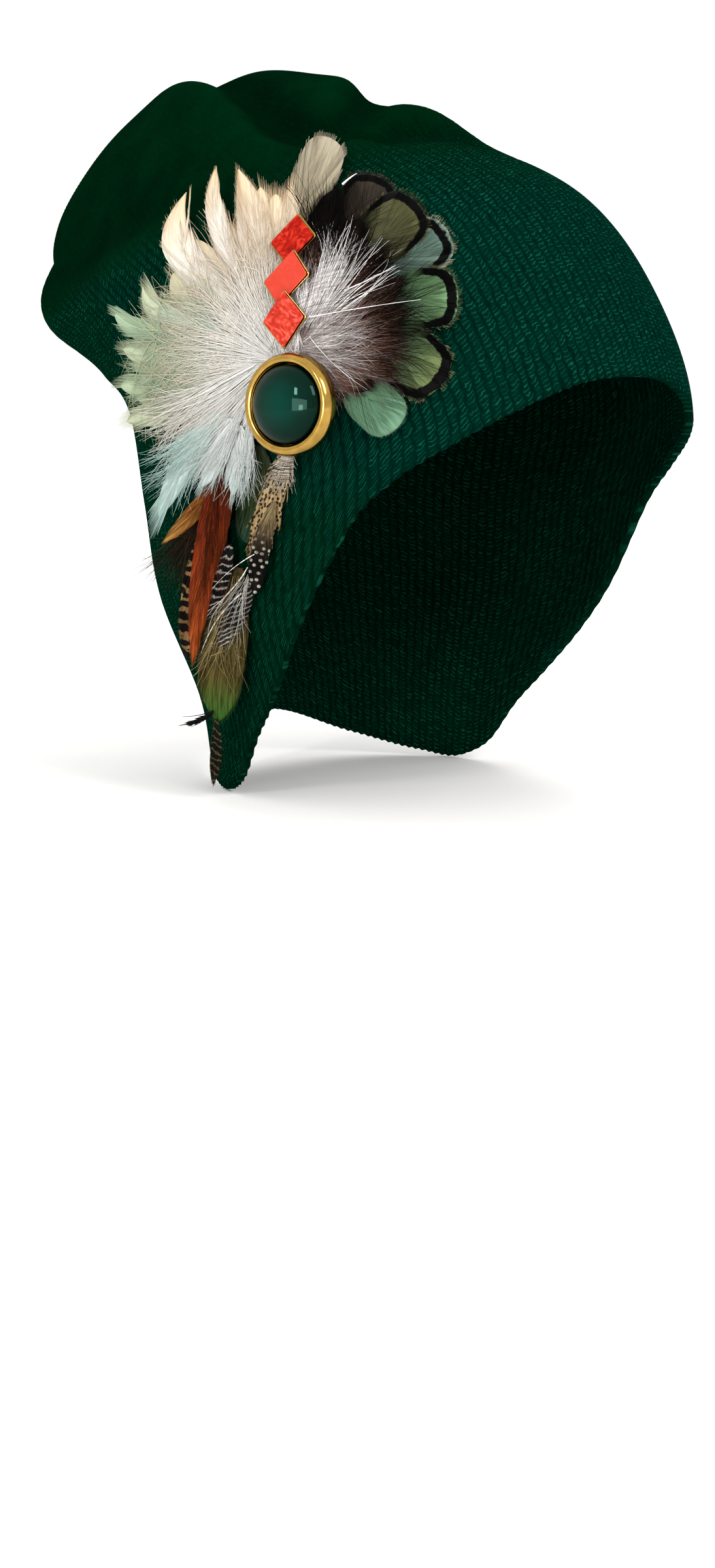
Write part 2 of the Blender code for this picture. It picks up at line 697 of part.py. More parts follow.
def build_lozenge(lozenge, bed):
    """A gold-edged lozenge: a gold plate with a coral tile on it."""
    top, right, left = (np.array(corner) for corner in (lozenge.top, lozenge.right, lozenge.left))
    foot = right + left - top
    corners = np.array([top, right, foot, left])
    middle = corners.mean(axis=0)
    side_lift = (lozenge.top_lift + lozenge.foot_lift) / 2
    heights = np.array([lozenge.top_lift, side_lift, lozenge.foot_lift, side_lift])
    reach = np.linalg.norm(corners - middle, axis=1, keepdims=True)
    inset = middle + (corners - middle) * (1.0 - LOZENGE_INSET / reach)
    lozenge_slab(f"lozenge_plate_{lozenge.name}", corners, heights, 0.0, LOZENGE_PLATE, bed, "gold")
    low = LOZENGE_PLATE + FIT_GAP
    lozenge_slab(f"lozenge_tile_{lozenge.name}", inset, heights, low, low + LOZENGE_TILE, bed, "coral")


def add_turned(name, profile, middle, axis, material_name):
    """A closed body of revolution: profile rows of radius and height, from the axis out and back to it."""
    axis = axis / np.linalg.norm(axis)
    side = np.cross(axis, [0.0, 0.0, 1.0])
    side /= np.linalg.norm(side)
    other = np.cross(axis, side)
    points, faces = [], []
    angles = np.arange(ROUND_STEPS) * 2.0 * math.pi / ROUND_STEPS
    for radius, height in profile[1:-1]:
        for angle in angles:
            offset = math.cos(angle) * side + math.sin(angle) * other
            points.append(middle + offset * radius + axis * height)
    rows = len(profile) - 2
    faces += ring_faces(rows, ROUND_STEPS)
    first_pole = len(points)
    points.append(middle + axis * profile[0][1])
    points.append(middle + axis * profile[-1][1])
    last = (rows - 1) * ROUND_STEPS
    for step in range(ROUND_STEPS):
        beside = (step + 1) % ROUND_STEPS
        faces.append((beside, step, first_pole))
        faces.append((last + step, last + beside, first_pole + 1))
    return add_part(name, points, faces, material_name)


def arc(radius_from, height_from, radius_to, height_to, steps):
    """Quarter-ellipse rows between two profile points, level at the second."""
    rows = []
    for step in range(1, steps + 1):
        angle = math.pi / 2 * step / steps
        rows.append((
            radius_to + (radius_from - radius_to) * math.cos(angle),
            height_from + (height_to - height_from) * math.sin(angle),
        ))
    return rows


def build_brooch(bed):
    """The bezel with its recess, and the domed stone seated in it."""
    turn, rise = math.radians(BROOCH_FACING_TURN), math.radians(BROOCH_FACING_RISE)
    axis = np.array([math.sin(turn) * math.cos(rise), -math.cos(turn) * math.cos(rise), math.sin(rise)])
    seat = bed.seat(*BROOCH_PLACE, 0.0) + axis * BROOCH_STAND_OFF
    recess = STONE_RADIUS + FIT_GAP
    crest = BEZEL_DEPTH - BEZEL_LIP_DROP
    girdle = crest - BEZEL_LIP_HEIGHT
    bezel = [(0.0, 0.0), (BEZEL_RADIUS - BEZEL_BACK_INSET, 0.0)]
    bezel += [(BEZEL_RADIUS - BEZEL_EDGE_INSET, BEZEL_EDGE_HEIGHT), (BEZEL_RADIUS, BEZEL_FLOOR)]
    bezel += arc(BEZEL_RADIUS, BEZEL_FLOOR, recess + BEZEL_ROLL, BEZEL_DEPTH, BEZEL_ARC_STEPS)
    bezel += [(recess + BEZEL_LIP_WIDTH, crest), (recess, girdle), (recess, BEZEL_FLOOR), (0.0, BEZEL_FLOOR)]
    add_turned("brooch_bezel", bezel, seat, axis, "gold")
    base = BEZEL_FLOOR + FIT_GAP
    stone = [(0.0, base), (STONE_RADIUS - STONE_CHAMFER, base)]
    stone += [(STONE_RADIUS, base + STONE_CHAMFER), (STONE_RADIUS, girdle)]
    stone += arc(STONE_RADIUS, girdle, 0.0, girdle + STONE_DOME, STONE_ARC_STEPS)
    add_turned("brooch_stone", stone, seat, axis, "green_stone")


def main():
    """Build the hat, then lay the cockade on its side."""
    clear_scene()
    bed = Bed(build_shell())
    for feather in FEATHERS:
        build_feather(feather, bed)
    for plume in PLUMES:
        build_plume(plume, bed)
    for lozenge in LOZENGES:
        build_lozenge(lozenge, bed)
    build_brooch(bed)


main()
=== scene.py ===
"""Looks of a fine-ribbed slouchy knit beanie with a feather cockade, gold-edged lozenges and a domed brooch.

Tables are in millimetres and degrees, as the object's own source has them, and meshes are in metres. A turn is an
angle round the hat: 0 at the forehead, 90 at the wearer's left, 180 at the nape. A place is a point on the cockade's
layout sheet, across and up from the middle of the cockade.
"""

from __future__ import annotations

import logging
import math
from dataclasses import dataclass, field
from enum import Enum, auto
from functools import partial
from typing import Any, ClassVar, NamedTuple

import bpy
import numpy as np
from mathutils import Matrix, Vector
from mathutils.bvhtree import BVHTree


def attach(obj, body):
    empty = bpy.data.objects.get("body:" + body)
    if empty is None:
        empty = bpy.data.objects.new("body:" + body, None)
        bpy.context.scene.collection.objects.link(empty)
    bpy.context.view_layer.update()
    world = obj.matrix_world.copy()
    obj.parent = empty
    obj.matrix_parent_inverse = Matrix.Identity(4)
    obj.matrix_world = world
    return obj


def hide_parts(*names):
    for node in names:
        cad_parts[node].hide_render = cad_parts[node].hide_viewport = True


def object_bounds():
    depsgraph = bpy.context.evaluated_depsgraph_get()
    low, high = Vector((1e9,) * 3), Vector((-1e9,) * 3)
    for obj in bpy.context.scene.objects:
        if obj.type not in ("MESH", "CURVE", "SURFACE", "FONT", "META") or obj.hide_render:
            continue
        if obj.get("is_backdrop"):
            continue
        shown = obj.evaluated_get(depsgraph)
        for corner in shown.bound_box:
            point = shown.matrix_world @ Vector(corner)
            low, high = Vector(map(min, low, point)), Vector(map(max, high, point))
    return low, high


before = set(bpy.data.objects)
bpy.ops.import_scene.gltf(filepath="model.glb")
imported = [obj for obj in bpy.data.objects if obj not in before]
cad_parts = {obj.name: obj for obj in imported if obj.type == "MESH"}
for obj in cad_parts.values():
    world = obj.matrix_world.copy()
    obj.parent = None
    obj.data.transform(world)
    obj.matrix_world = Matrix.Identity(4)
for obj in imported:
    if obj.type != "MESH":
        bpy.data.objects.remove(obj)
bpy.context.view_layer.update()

MM = 0.001
FLOOR_GAP = 0.0005
LOG = logging.getLogger("beanie")

Place = tuple[float, float]
Span = tuple[float, float]
Faces = list[tuple[int, ...]]
Inputs = dict[str | int, Any]
Tree = bpy.types.NodeTree
Socket = bpy.types.NodeSocket
Material = bpy.types.Material
Piece = bpy.types.Object


# ---------------------------------------------------------------------------------------------------------------
# Node trees and meshes


def linear(hex_colour: str) -> tuple[float, float, float, float]:
    """The linear colour of an sRGB hex value.

    Args:
        hex_colour: Six hex digits, such as "0b4a37".

    Returns:
        Red, green, blue and an alpha of 1.
    """
    channels = []
    for start in (0, 2, 4):
        value = int(hex_colour[start : start + 2], 16) / 255.0
        channels.append(value / 12.92 if value <= 0.04045 else ((value + 0.055) / 1.055) ** 2.4)
    return (*channels, 1.0)


def add_node(tree: Tree, kind: str, inputs: Inputs | None = None, **settings: Any) -> bpy.types.Node:
    """Add one node with its settings and links.

    Args:
        tree: The tree that takes the node.
        kind: The node's type name.
        inputs: By the input's name or number, the value that it holds or the socket that feeds it.
        settings: Property values by name, and places and hex colours of a colour ramp as stops.

    Returns:
        The node.
    """
    node = tree.nodes.new(kind)
    stops = settings.pop("stops", ())
    for name, value in settings.items():
        setattr(node, name, value)
    while stops and len(node.color_ramp.elements) < len(stops):
        node.color_ramp.elements.new(1.0)
    for number, (position, colour) in enumerate(stops):
        node.color_ramp.elements[number].position = position
        node.color_ramp.elements[number].color = linear(colour)
    for name, value in (inputs or {}).items():
        if isinstance(value, bpy.types.NodeSocket):
            tree.links.new(value, node.inputs[name])
        else:
            node.inputs[name].default_value = value
    return node


class Wiring:
    """A node tree in the making: each call adds a node and gives the output that the next one takes."""

    def __init__(self, tree: Tree) -> None:
        """Take an empty tree."""
        self.tree = tree

    def add(self, kind: str, inputs: Inputs | None = None, out: str | int = 0, **settings: Any) -> Socket:
        """Add a node and give one of its outputs, the first if none is named."""
        return add_node(self.tree, kind, inputs, **settings).outputs[out]

    def maths(self, operation: str, *values: Socket | float) -> Socket:
        """Work out a number from others."""
        return self.add("ShaderNodeMath", dict(enumerate(values)), operation=operation)


class GeometryWiring(Wiring):
    """A geometry tree in the making, with named inputs and one geometry output."""

    def __init__(self, name: str, **inputs: str) -> None:
        """Start the tree.

        Args:
            name: Its name.
            inputs: The socket type of each input after the geometry, by the input's name.
        """
        super().__init__(bpy.data.node_groups.new(name, "GeometryNodeTree"))
        for label, kind in {"Geometry": "NodeSocketGeometry", **inputs}.items():
            self.tree.interface.new_socket(label, in_out="INPUT", socket_type=kind)
        self.tree.interface.new_socket("Geometry", in_out="OUTPUT", socket_type="NodeSocketGeometry")
        self.entry = add_node(self.tree, "NodeGroupInput")
        self.exit = add_node(self.tree, "NodeGroupOutput")

    def given(self, name: str) -> Socket:
        """One of the tree's inputs."""
        return self.entry.outputs[name]

    def carried(self, name: str, kind: str = "FLOAT") -> Socket:
        """A value that the mesh carries."""
        return self.add("GeometryNodeInputNamedAttribute", {"Name": name}, "Attribute", data_type=kind)

    def step(self, kind: str, geometry: Socket, inputs: Inputs | None = None) -> Socket:
        """Pass the geometry through one node."""
        return self.add(f"GeometryNode{kind}", {"Geometry": geometry, **(inputs or {})}, "Geometry")

    def close(self, geometry: Socket) -> Tree:
        """Make the geometry real, give it the Material input and end the tree.

        Args:
            geometry: The geometry.

        Returns:
            The finished tree.
        """
        real = self.step("RealizeInstances", geometry)
        dressed = self.step("SetMaterial", real, {"Material": self.given("Material")})
        self.tree.links.new(dressed, self.exit.inputs["Geometry"])
        return self.tree


def strand_tree() -> Tree:
    """The tree that gives each loose edge of a piece a tapered round body, as a barb or a quill has.

    Returns:
        The geometry tree, with the inputs Sides and Material.
    """
    make = GeometryWiring("strand_bodies", Sides="NodeSocketInt", Material="NodeSocketMaterial")
    chosen = {"Geometry": make.given("Geometry"), "Selection": make.carried("is_strand", "BOOLEAN")}
    split = add_node(make.tree, "GeometryNodeSeparateGeometry", chosen, domain="POINT")
    lines = make.add("GeometryNodeMeshToCurve", {"Mesh": split.outputs["Selection"]})
    circle = {"Radius": 1.0, "Resolution": make.given("Sides")}
    ring = make.add("GeometryNodeCurvePrimitiveCircle", circle, "Curve", mode="RADIUS")
    body = {"Curve": lines, "Profile Curve": ring, "Scale": make.carried("thickness"), "Fill Caps": True}
    soft = make.step("SetShadeSmooth", make.add("GeometryNodeCurveToMesh", body))
    joined = add_node(make.tree, "GeometryNodeJoinGeometry", {"Geometry": soft})
    make.tree.links.new(split.outputs["Inverted"], joined.inputs["Geometry"])
    return make.close(joined.outputs["Geometry"])


def rib_tree() -> Tree:
    """The tree that raises the ribs of the knit along its wales.

    Returns:
        The geometry tree, with the inputs Sink, Roundness and Material.
    """
    make = GeometryWiring(
        "knit_ribs", Sink="NodeSocketFloat", Roundness="NodeSocketFloat", Material="NodeSocketMaterial"
    )
    wave = make.maths("COSINE", make.maths("MULTIPLY", make.carried("rib_phase"), math.pi))
    rounded = make.maths("POWER", make.maths("ABSOLUTE", wave), make.given("Roundness"))
    sunk = make.maths("SUBTRACT", rounded, make.given("Sink"))
    height = make.maths("MULTIPLY", sunk, make.carried("rib_rise"))
    normal = make.add("GeometryNodeInputNormal", None, "Normal")
    offset = make.add("ShaderNodeVectorMath", {0: normal, "Scale": height}, "Vector", operation="SCALE")
    moved = make.step("SetPosition", make.given("Geometry"), {"Offset": offset})
    return make.close(make.step("SetShadeSmooth", moved))


def apply_tree(piece: Piece, tree: Tree, values: dict[str, Any]) -> None:
    """Run a geometry tree on a piece and keep its result as the piece's plain mesh.

    Args:
        piece: The mesh object.
        tree: The geometry tree.
        values: Input values by the name of the tree's input.
    """
    modifier = piece.modifiers.new(tree.name, "NODES")
    modifier.node_group = tree
    for item in tree.interface.items_tree:
        if item.item_type == "SOCKET" and item.in_out == "INPUT" and item.name in values:
            modifier[item.identifier] = values[item.name]
    graph = bpy.context.evaluated_depsgraph_get()
    evaluated = piece.evaluated_get(graph)
    made = bpy.data.meshes.new_from_object(evaluated, preserve_all_data_layers=True, depsgraph=graph)
    piece.modifiers.remove(modifier)
    before = piece.data
    piece.data = made
    bpy.data.meshes.remove(before)
    made.name = piece.name


def placed(name: str, data: bpy.types.ID) -> Piece:
    """An object with this data, at the origin of the scene.

    Args:
        name: The object's name.
        data: Its mesh, light or camera.

    Returns:
        The object.
    """
    made = bpy.data.objects.new(name, data)
    bpy.context.scene.collection.objects.link(made)
    return made


def closed_rings(
    name: str, rings: list[np.ndarray], ends: list[np.ndarray], sharp: float, flip: bool = False
) -> Piece:
    """A closed body from rings of points in millimetres, with a pole at each end.

    Args:
        name: The piece's name.
        rings: The rings.
        ends: The first and the last pole.
        sharp: The angle above which an edge is sharp.
        flip: Whether the rings go round the other way.

    Returns:
        The piece, not yet dressed.
    """
    count = len(rings[0])
    size = len(rings) * count
    faces = ring_faces(len(rings), count, flip=flip)
    for first, pole in ((0, size), (size - count, size + 1)):
        for here, there in ((first + c, first + (c + 1) % count) for c in range(count)):
            faces.append((here, there, pole) if flip == (first == 0) else (there, here, pole))
    mesh = bpy.data.meshes.new(name)
    mesh.from_pydata((np.concatenate([*rings, ends]) * MM).tolist(), [], faces)
    mesh.validate()
    mesh.shade_smooth()
    mesh.set_sharp_from_angle(angle=math.radians(sharp))
    return placed(name, mesh)


def hand_over(piece: Piece, node: str) -> None:
    """Say what a finished piece stands for and what it rides on.

    Args:
        piece: The finished piece.
        node: The solid that it replaces.
    """
    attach(piece, "root")
    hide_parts(node)
    LOG.info("%s: %d faces in place of %s", piece.name, len(piece.data.polygons), node)


# ---------------------------------------------------------------------------------------------------------------
# Finishes


class Surface(Wiring):
    """A node material in the making."""

    def __init__(self, name: str) -> None:
        """Start the material with nothing but its output.

        Args:
            name: Its name.
        """
        self.made = bpy.data.materials.new(name)
        self.made.use_nodes = True
        self.made.node_tree.nodes.clear()
        super().__init__(self.made.node_tree)
        self.output = add_node(self.tree, "ShaderNodeOutputMaterial")

    def where(self) -> Socket:
        """The point on the object, in metres."""
        return self.add("ShaderNodeTexCoord", None, "Object")

    def carried(self, name: str, out: str = "Fac") -> Socket:
        """A value that the mesh carries."""
        return self.add("ShaderNodeAttribute", None, out, attribute_name=name)

    def span(self, value: Socket, between: tuple[Any, Any] = (0.0, 1.0), to: Span = (0.0, 1.0)) -> Socket:
        """A value moved from one range to another and held inside it."""
        ends = zip(("From Min", "From Max", "To Min", "To Max"), (*between, *to))
        return self.add("ShaderNodeMapRange", {"Value": value, **dict(ends)})

    def mix(self, share: Socket | float, first: Socket | str, second: Socket | str) -> Socket:
        """A colour between two others, each a socket or a hex value."""
        ends = [linear(end) if isinstance(end, str) else end for end in (first, second)]
        return self.add("ShaderNodeMix", {0: share, 6: ends[0], 7: ends[1]}, 2, data_type="RGBA")

    def ramp(self, value: Socket, *stops: tuple[float, str]) -> Socket:
        """A colour off a ramp of places and hex values."""
        return self.add("ShaderNodeValToRGB", {0: value}, "Color", stops=stops)

    def noise(self, where: Socket, scale: float, detail: float, flat: bool = False, **more: float) -> Socket:
        """Cloudy noise from 0 to 1, on a plane where it is flat."""
        inputs = {"Vector": where, "Scale": scale, "Detail": detail, **more}
        return self.add("ShaderNodeTexNoise", inputs, "Fac", noise_dimensions="2D" if flat else "3D")

    def stretched(self, vector: Socket, by: tuple[float, float, float]) -> Socket:
        """A vector with each part multiplied."""
        return self.add("ShaderNodeVectorMath", {0: vector, 1: by}, "Vector", operation="MULTIPLY")

    def toned(self, colour: Socket, value: Socket) -> Socket:
        """A colour made lighter or darker."""
        return self.add("ShaderNodeHueSaturation", {"Color": colour, "Value": value})

    def relief(self, height: Socket, strength: float, depth_mm: float) -> Socket:
        """The normal of a fine relief."""
        return self.add("ShaderNodeBump", {"Height": height, "Strength": strength, "Distance": depth_mm * MM})

    def coat(self, colour: Socket, inputs: Inputs) -> Socket:
        """The shader of the surface."""
        return self.add("ShaderNodeBsdfPrincipled", {"Base Color": colour, **inputs})

    def close(self, shader: Socket) -> Material:
        """Join the shader to the output and give the material."""
        self.tree.links.new(shader, self.output.inputs["Surface"])
        return self.made


@dataclass(frozen=True)
class RibbedYarn:
    """Brushed acrylic and wool yarn in a fine one by one rib.

    The eye sees rows of short light dashes, one for each stitch on a rib, with soft furrows between the ribs painted
    dark as shade.
    Where the cloth is raised to a velvet pile, the dashes sink into a velvety green painted dark as shade, on the
    slouch, the rear, the low sides and the inside.
    """

    yarn: str = "001c14"
    furrow: str = "000d08"
    dash: str = "0c4637"
    shaded_nap: str = "001004"
    pale_lit_nap: str = "001d0a"
    sheen: str = "3fae7d"
    rib_mm: float = 3.8
    course_mm: float = 1.4
    slant: float = -0.8
    wander: float = 1.3
    sway: float = 0.45
    crease_light: float = 0.22
    nap_shade_cover: float = 0.9
    dash_relief: float = 0.6
    roughness: float = 0.9

    def dashes(self, make: Surface, across: Socket, run: Socket, cloth: Socket, crest: Socket) -> Socket:
        """The light dashes of the stitches along each rib, some stronger than others.

        Args:
            make: The material in the making.
            across: The place across the ribs, one for each rib.
            run: Millimetres along the rib.
            cloth: The place on the cloth in millimetres.
            crest: How near it is to the rib's crest.

        Returns:
            The strength of the dash.
        """
        number = make.maths("ROUND", across)
        seed = make.add("ShaderNodeTexWhiteNoise", {"W": number}, noise_dimensions="1D")
        lean = make.maths("MULTIPLY_ADD", across, self.slant, seed)
        courses = make.maths("MULTIPLY_ADD", run, 1.0 / self.course_mm, lean)
        uneven = make.maths("MULTIPLY_ADD", make.noise(cloth, 0.45, 2.0, flat=True), self.wander, courses)
        wave = make.maths("SINE", make.maths("MULTIPLY", uneven, 2.0 * math.pi))
        stitch = make.add("ShaderNodeCombineXYZ", {"X": number, "Y": make.maths("FLOOR", uneven)})
        chance = make.add("ShaderNodeTexWhiteNoise", {"Vector": stitch}, noise_dimensions="2D")
        picked = make.span(chance, (0.1, 1.0), to=(0.2, 0.85))
        return make.maths("MULTIPLY", make.maths("MULTIPLY", make.span(wave, (0.1, 0.95)), crest), picked)

    def material(self) -> Material:
        """The knit's material, read off its UV map: ribs across and millimetres along.

        Returns:
            The material.
        """
        make = Surface("ribbed_acrylic_wool_knit")
        uv = make.add("ShaderNodeUVMap", uv_map="knit_map")
        across, run, _ = add_node(make.tree, "ShaderNodeSeparateXYZ", {0: uv}).outputs
        cloth = make.stretched(uv, (self.rib_mm, 1.0, 1.0))
        brushed = make.carried("brushed")
        # The furrows wander a little from side to side, as a stretched rib does.
        sway = make.span(make.noise(cloth, 0.3, 2.0, flat=True), to=(-self.sway, self.sway))
        wave = make.maths("COSINE", make.maths("MULTIPLY", make.maths("ADD", across, sway), math.pi))
        rib = make.maths("ABSOLUTE", wave)
        dashes = self.dashes(make, across, run, cloth, make.span(rib, (0.35, 0.8)))
        shown = make.maths("MULTIPLY", dashes, make.span(brushed, (0.6, 1.0), to=(1.0, 0.04)))
        # Painted shade darkens the furrows between the ribs. Some furrows close up where the cloth is slack, so their
        # depth and shade wander from place to place.
        slack = make.noise(uv, 0.07, 3.0, flat=True)
        closing = make.span(slack, (0.35, 0.65), to=(0.15, 0.6))
        body = make.mix(make.span(rib, (0.0, closing), to=(0.4, 1.0)), self.furrow, self.yarn)
        # Painted light and shade: the velvet is painted paler on the lips of the folds and darker in their furrows,
        # over a random pile tone.
        pile = make.noise(make.where(), 60.0, 5.0, Roughness=0.65)
        crease_lit_pile = make.maths("MULTIPLY_ADD", make.carried("crease"), self.crease_light, pile)
        velvet = make.mix(make.span(crease_lit_pile, (0.3, 0.8)), self.shaded_nap, self.pale_lit_nap)
        # Painted shade: the colour goes to the dark velvet as far as the cloth is painted as shaded.
        napped_and_shaded = make.mix(make.maths("MULTIPLY", brushed, self.nap_shade_cover), body, velvet)
        fibres = make.noise(make.where(), 1500.0, 2.0)
        toned = make.toned(make.mix(shown, napped_and_shaded, self.dash), make.span(fibres, to=(0.72, 1.28)))
        height = make.maths("MULTIPLY_ADD", shown, self.dash_relief, fibres)
        return make.close(make.coat(toned, {
            "Roughness": self.roughness, "Specular IOR Level": 0.0, "Sheen Weight": 0.01, "Sheen Roughness": 0.5,
            "Sheen Tint": linear(self.sheen), "Normal": make.relief(height, 0.6, 0.35),
        }))


class Pattern(Enum):
    """How the marks lie on a feather."""

    PLAIN = auto()
    EYED = auto()
    BARRED = auto()
    DOTTED = auto()
    SPECKLED = auto()


@dataclass(frozen=True)
class FeatherFinish:
    """A feather: matte keratin barbs that lie side by side, each with its own tone.

    The eye sees fine streaks along the barbs, a soft gloss across them, and marks that run on from barb to barb.
    """

    name: str
    root: str
    middle: str
    tip: str
    tint: str
    mark: str = "0b0908"
    fringe: str = ""
    pattern: Pattern = Pattern.PLAIN
    pitch_mm: float = 4.0
    band_mm: Span = (1.4, 4.4)
    dot_size: float = 0.27
    squeeze: float = 1.0
    bar_share: float = 0.0
    slant: float = -0.35
    roughness: float = 0.6
    spread: float = 0.5
    glow: float = 0.0
    stops: tuple[float, float, float] = (0.05, 0.5, 0.95)

    def near_tip(self, make: Surface, value: Socket) -> Socket:
        """A value kept in the outer half of the feather only."""
        return make.maths("MULTIPLY", value, make.span(make.carried("along"), (0.3, 0.5)))

    def from_edge(self, make: Surface, edge: Socket) -> Socket:
        """The way in from the edge, stretched along the sides so that a band there is thinner than at the tip."""
        return make.maths("MULTIPLY", edge, make.span(make.carried("along"), (0.5, 0.9), to=(2.4, 1.0)))

    def marks(self, make: Surface, across: Socket, along: Socket, edge: Socket) -> Socket:
        """The strength of the marks over the feather.

        Args:
            make: The material in the making.
            across: Millimetres across.
            along: Millimetres along.
            edge: Millimetres from the edge.

        Returns:
            A value from 0 to 1.
        """
        if self.pattern is Pattern.EYED:
            start, end = self.band_mm
            ragged = make.maths(
                "MULTIPLY_ADD", make.noise(make.where(), 700.0, 3.0), 2.2, self.from_edge(make, edge)
            )
            outer = make.span(ragged, (start + 0.8, start + 1.4))
            inner = make.span(ragged, (end + 1.4, end + 0.8))
            return self.near_tip(make, make.maths("MULTIPLY", outer, inner))
        if self.pattern is Pattern.BARRED:
            uneven = make.noise(make.carried("vane_mm", "Vector"), 0.32, 3.0, flat=True)
            shifted = make.maths("MULTIPLY_ADD", uneven, self.pitch_mm * 1.5, along)
            slanted = make.maths("MULTIPLY_ADD", across, self.slant, shifted)
            wave = make.maths("SINE", make.maths("MULTIPLY", slanted, 2.0 * math.pi / self.pitch_mm))
            return make.span(wave, (self.bar_share - 0.25, self.bar_share + 0.25))
        dotted = self.pattern is Pattern.DOTTED
        narrow = make.maths("MULTIPLY", across, self.squeeze)
        cells = {
            "Vector": make.add("ShaderNodeCombineXYZ", {"X": narrow, "Y": along}), "Scale": 1.0 / self.pitch_mm,
            "Randomness": 0.55 if dotted else 1.0,
        }
        away = make.add("ShaderNodeTexVoronoi", cells, "Distance", voronoi_dimensions="2D")
        dots = make.span(away, (self.dot_size + 0.1, self.dot_size))
        return self.near_tip(make, dots) if dotted else dots

    def material(self) -> Material:
        """The feather's material, read off the values that its barbs carry.

        Returns:
            The material.
        """
        make = Surface(self.name)
        vane = make.carried("vane_mm", "Vector")
        across, along, edge = add_node(make.tree, "ShaderNodeSeparateXYZ", {0: vane}).outputs
        tint = make.carried("tint")
        body = make.ramp(make.carried("along"), *zip(self.stops, (self.root, self.middle, self.tip)))
        colour = make.mix(tint, body, self.tint)
        if self.pattern is Pattern.PLAIN:
            colour = make.mix(make.span(tint, (0.0, -1.0)), colour, self.mark)
        else:
            colour = make.mix(self.marks(make, across, along, edge), colour, self.mark)
        if self.fringe:
            near = make.span(self.from_edge(make, edge), (self.band_mm[0] * 0.8, self.band_mm[0] * 0.4))
            fleck = make.span(make.noise(make.where(), 800.0, 2.0), (0.42, 0.58))
            colour = make.mix(self.near_tip(make, near), colour, make.mix(fleck, self.mark, self.fringe))
        dark = 1.0 - self.spread
        tone = make.span(make.carried("strand"), to=(dark, 1.0 + 0.35 * self.spread))
        streaks = make.noise(make.stretched(vane, (1.9, 0.16, 0.0)), 1.0, 3.0, flat=True)
        streak = make.span(streaks, (0.3, 0.62), to=(dark, 1.0 + 0.2 * self.spread))
        toned = make.toned(colour, make.maths("MULTIPLY", tone, streak))
        shader = make.coat(toned, {"Roughness": self.roughness, "Specular IOR Level": 0.04})
        if self.glow:
            through = make.add("ShaderNodeBsdfTranslucent", {"Color": toned})
            shader = make.add("ShaderNodeMixShader", {0: self.glow, 1: shader, 2: through})
        return make.close(shader)


@dataclass(frozen=True)
class PolishedGoldPlate:
    """Cast brass, gold plated and polished: a clear warm mirror, with faint waviness from the polishing wheel."""

    colour: str = "caa252"
    smudged: str = "8c6c2e"
    polish_film_and_shade: str = "4a2c0c"
    roughness: float = 0.13
    waviness_mm: float = 7.0
    shade_reach_mm: float = 3.0

    def material(self) -> Material:
        """The plate's material.

        Returns:
            The material.
        """
        make = Surface("polished_gold_plate")
        where = make.where()
        waves = make.noise(where, 1.0 / (self.waviness_mm * MM), 1.0)
        smudge = make.noise(where, 350.0, 4.0)
        tone = make.mix(smudge, self.colour, self.smudged)
        # Painted shade: polish leaves a brown residue where the wheel does not reach, here laid by ambient occlusion,
        # so the hollows and the joins between parts are painted dark.
        hollow_shade = make.add("ShaderNodeAmbientOcclusion", {"Distance": self.shade_reach_mm * MM}, "AO", samples=8)
        return make.close(make.coat(make.mix(make.span(hollow_shade, (0.35, 0.85)), self.polish_film_and_shade, tone), {
            "Metallic": 1.0, "Roughness": make.span(smudge, to=(self.roughness * 0.6, self.roughness * 1.5)),
            "Normal": make.relief(waves, 0.25, 0.5),
        }))


@dataclass(frozen=True)
class MarbledCoral:
    """Cast resin in coral red, swirled before it set and polished: clouds of paler and deeper red under a gloss."""

    name: str
    body: str
    cloud: str
    deep: str
    swirl_mm: float = 4.6
    strength: float = 1.0
    gloss: float = 0.22

    def material(self) -> Material:
        """The tile's material.

        Returns:
            The material.
        """
        make = Surface(self.name)
        swirl = make.noise(make.where(), 1.0 / (self.swirl_mm * MM), 2.5, Distortion=2.6)
        clouds = make.ramp(swirl, (0.34, self.deep), (0.5, self.body), (0.66, self.cloud))
        colour = make.mix(self.strength, self.body, clouds)
        return make.close(make.coat(colour, {"Roughness": 0.25, "Specular IOR Level": self.gloss}))


@dataclass(frozen=True)
class EmeraldCabochon:
    """Foil-backed glass pressed in a dome and fire polished: deep green and a wet gloss, with a heart painted paler as
    light off the foil and a rim painted darker as shade.
    """

    edge: str = "000b07"
    body: str = "011a12"
    heart: str = "02362a"
    glint: str = "9fe0cc"
    roughness: float = 0.04

    def material(self, middle: np.ndarray, radius_mm: float) -> Material:
        """The stone's material.

        Args:
            middle: The middle of the stone, in millimetres.
            radius_mm: The stone's radius.

        Returns:
            The material.
        """
        make = Surface("foiled_emerald_glass")
        ends = {0: make.where(), 1: tuple(middle * MM)}
        away = make.add("ShaderNodeVectorMath", ends, "Value", operation="DISTANCE")
        share = make.span(away, (0.0, radius_mm * MM * 1.15))
        # Painted light and shade: paler at the heart under the dome's top, darker towards the rim.
        depth = make.ramp(share, (0.12, self.heart), (0.62, self.body), (0.98, self.edge))
        return make.close(make.coat(depth, {
            "Roughness": self.roughness, "Specular IOR Level": 0.17, "Specular Tint": linear(self.glint),
        }))


@dataclass(frozen=True)
class PaleCard:
    """Matte studio card, smooth and nearly white."""

    colour: str = "f4f3f1"
    grain: str = "efeeec"

    def material(self) -> Material:
        """The card's material.

        Returns:
            The material.
        """
        make = Surface("pale_matte_card")
        tone = make.mix(make.noise(make.where(), 30.0, 2.0), self.colour, self.grain)
        return make.close(make.coat(tone, {"Roughness": 0.9}))


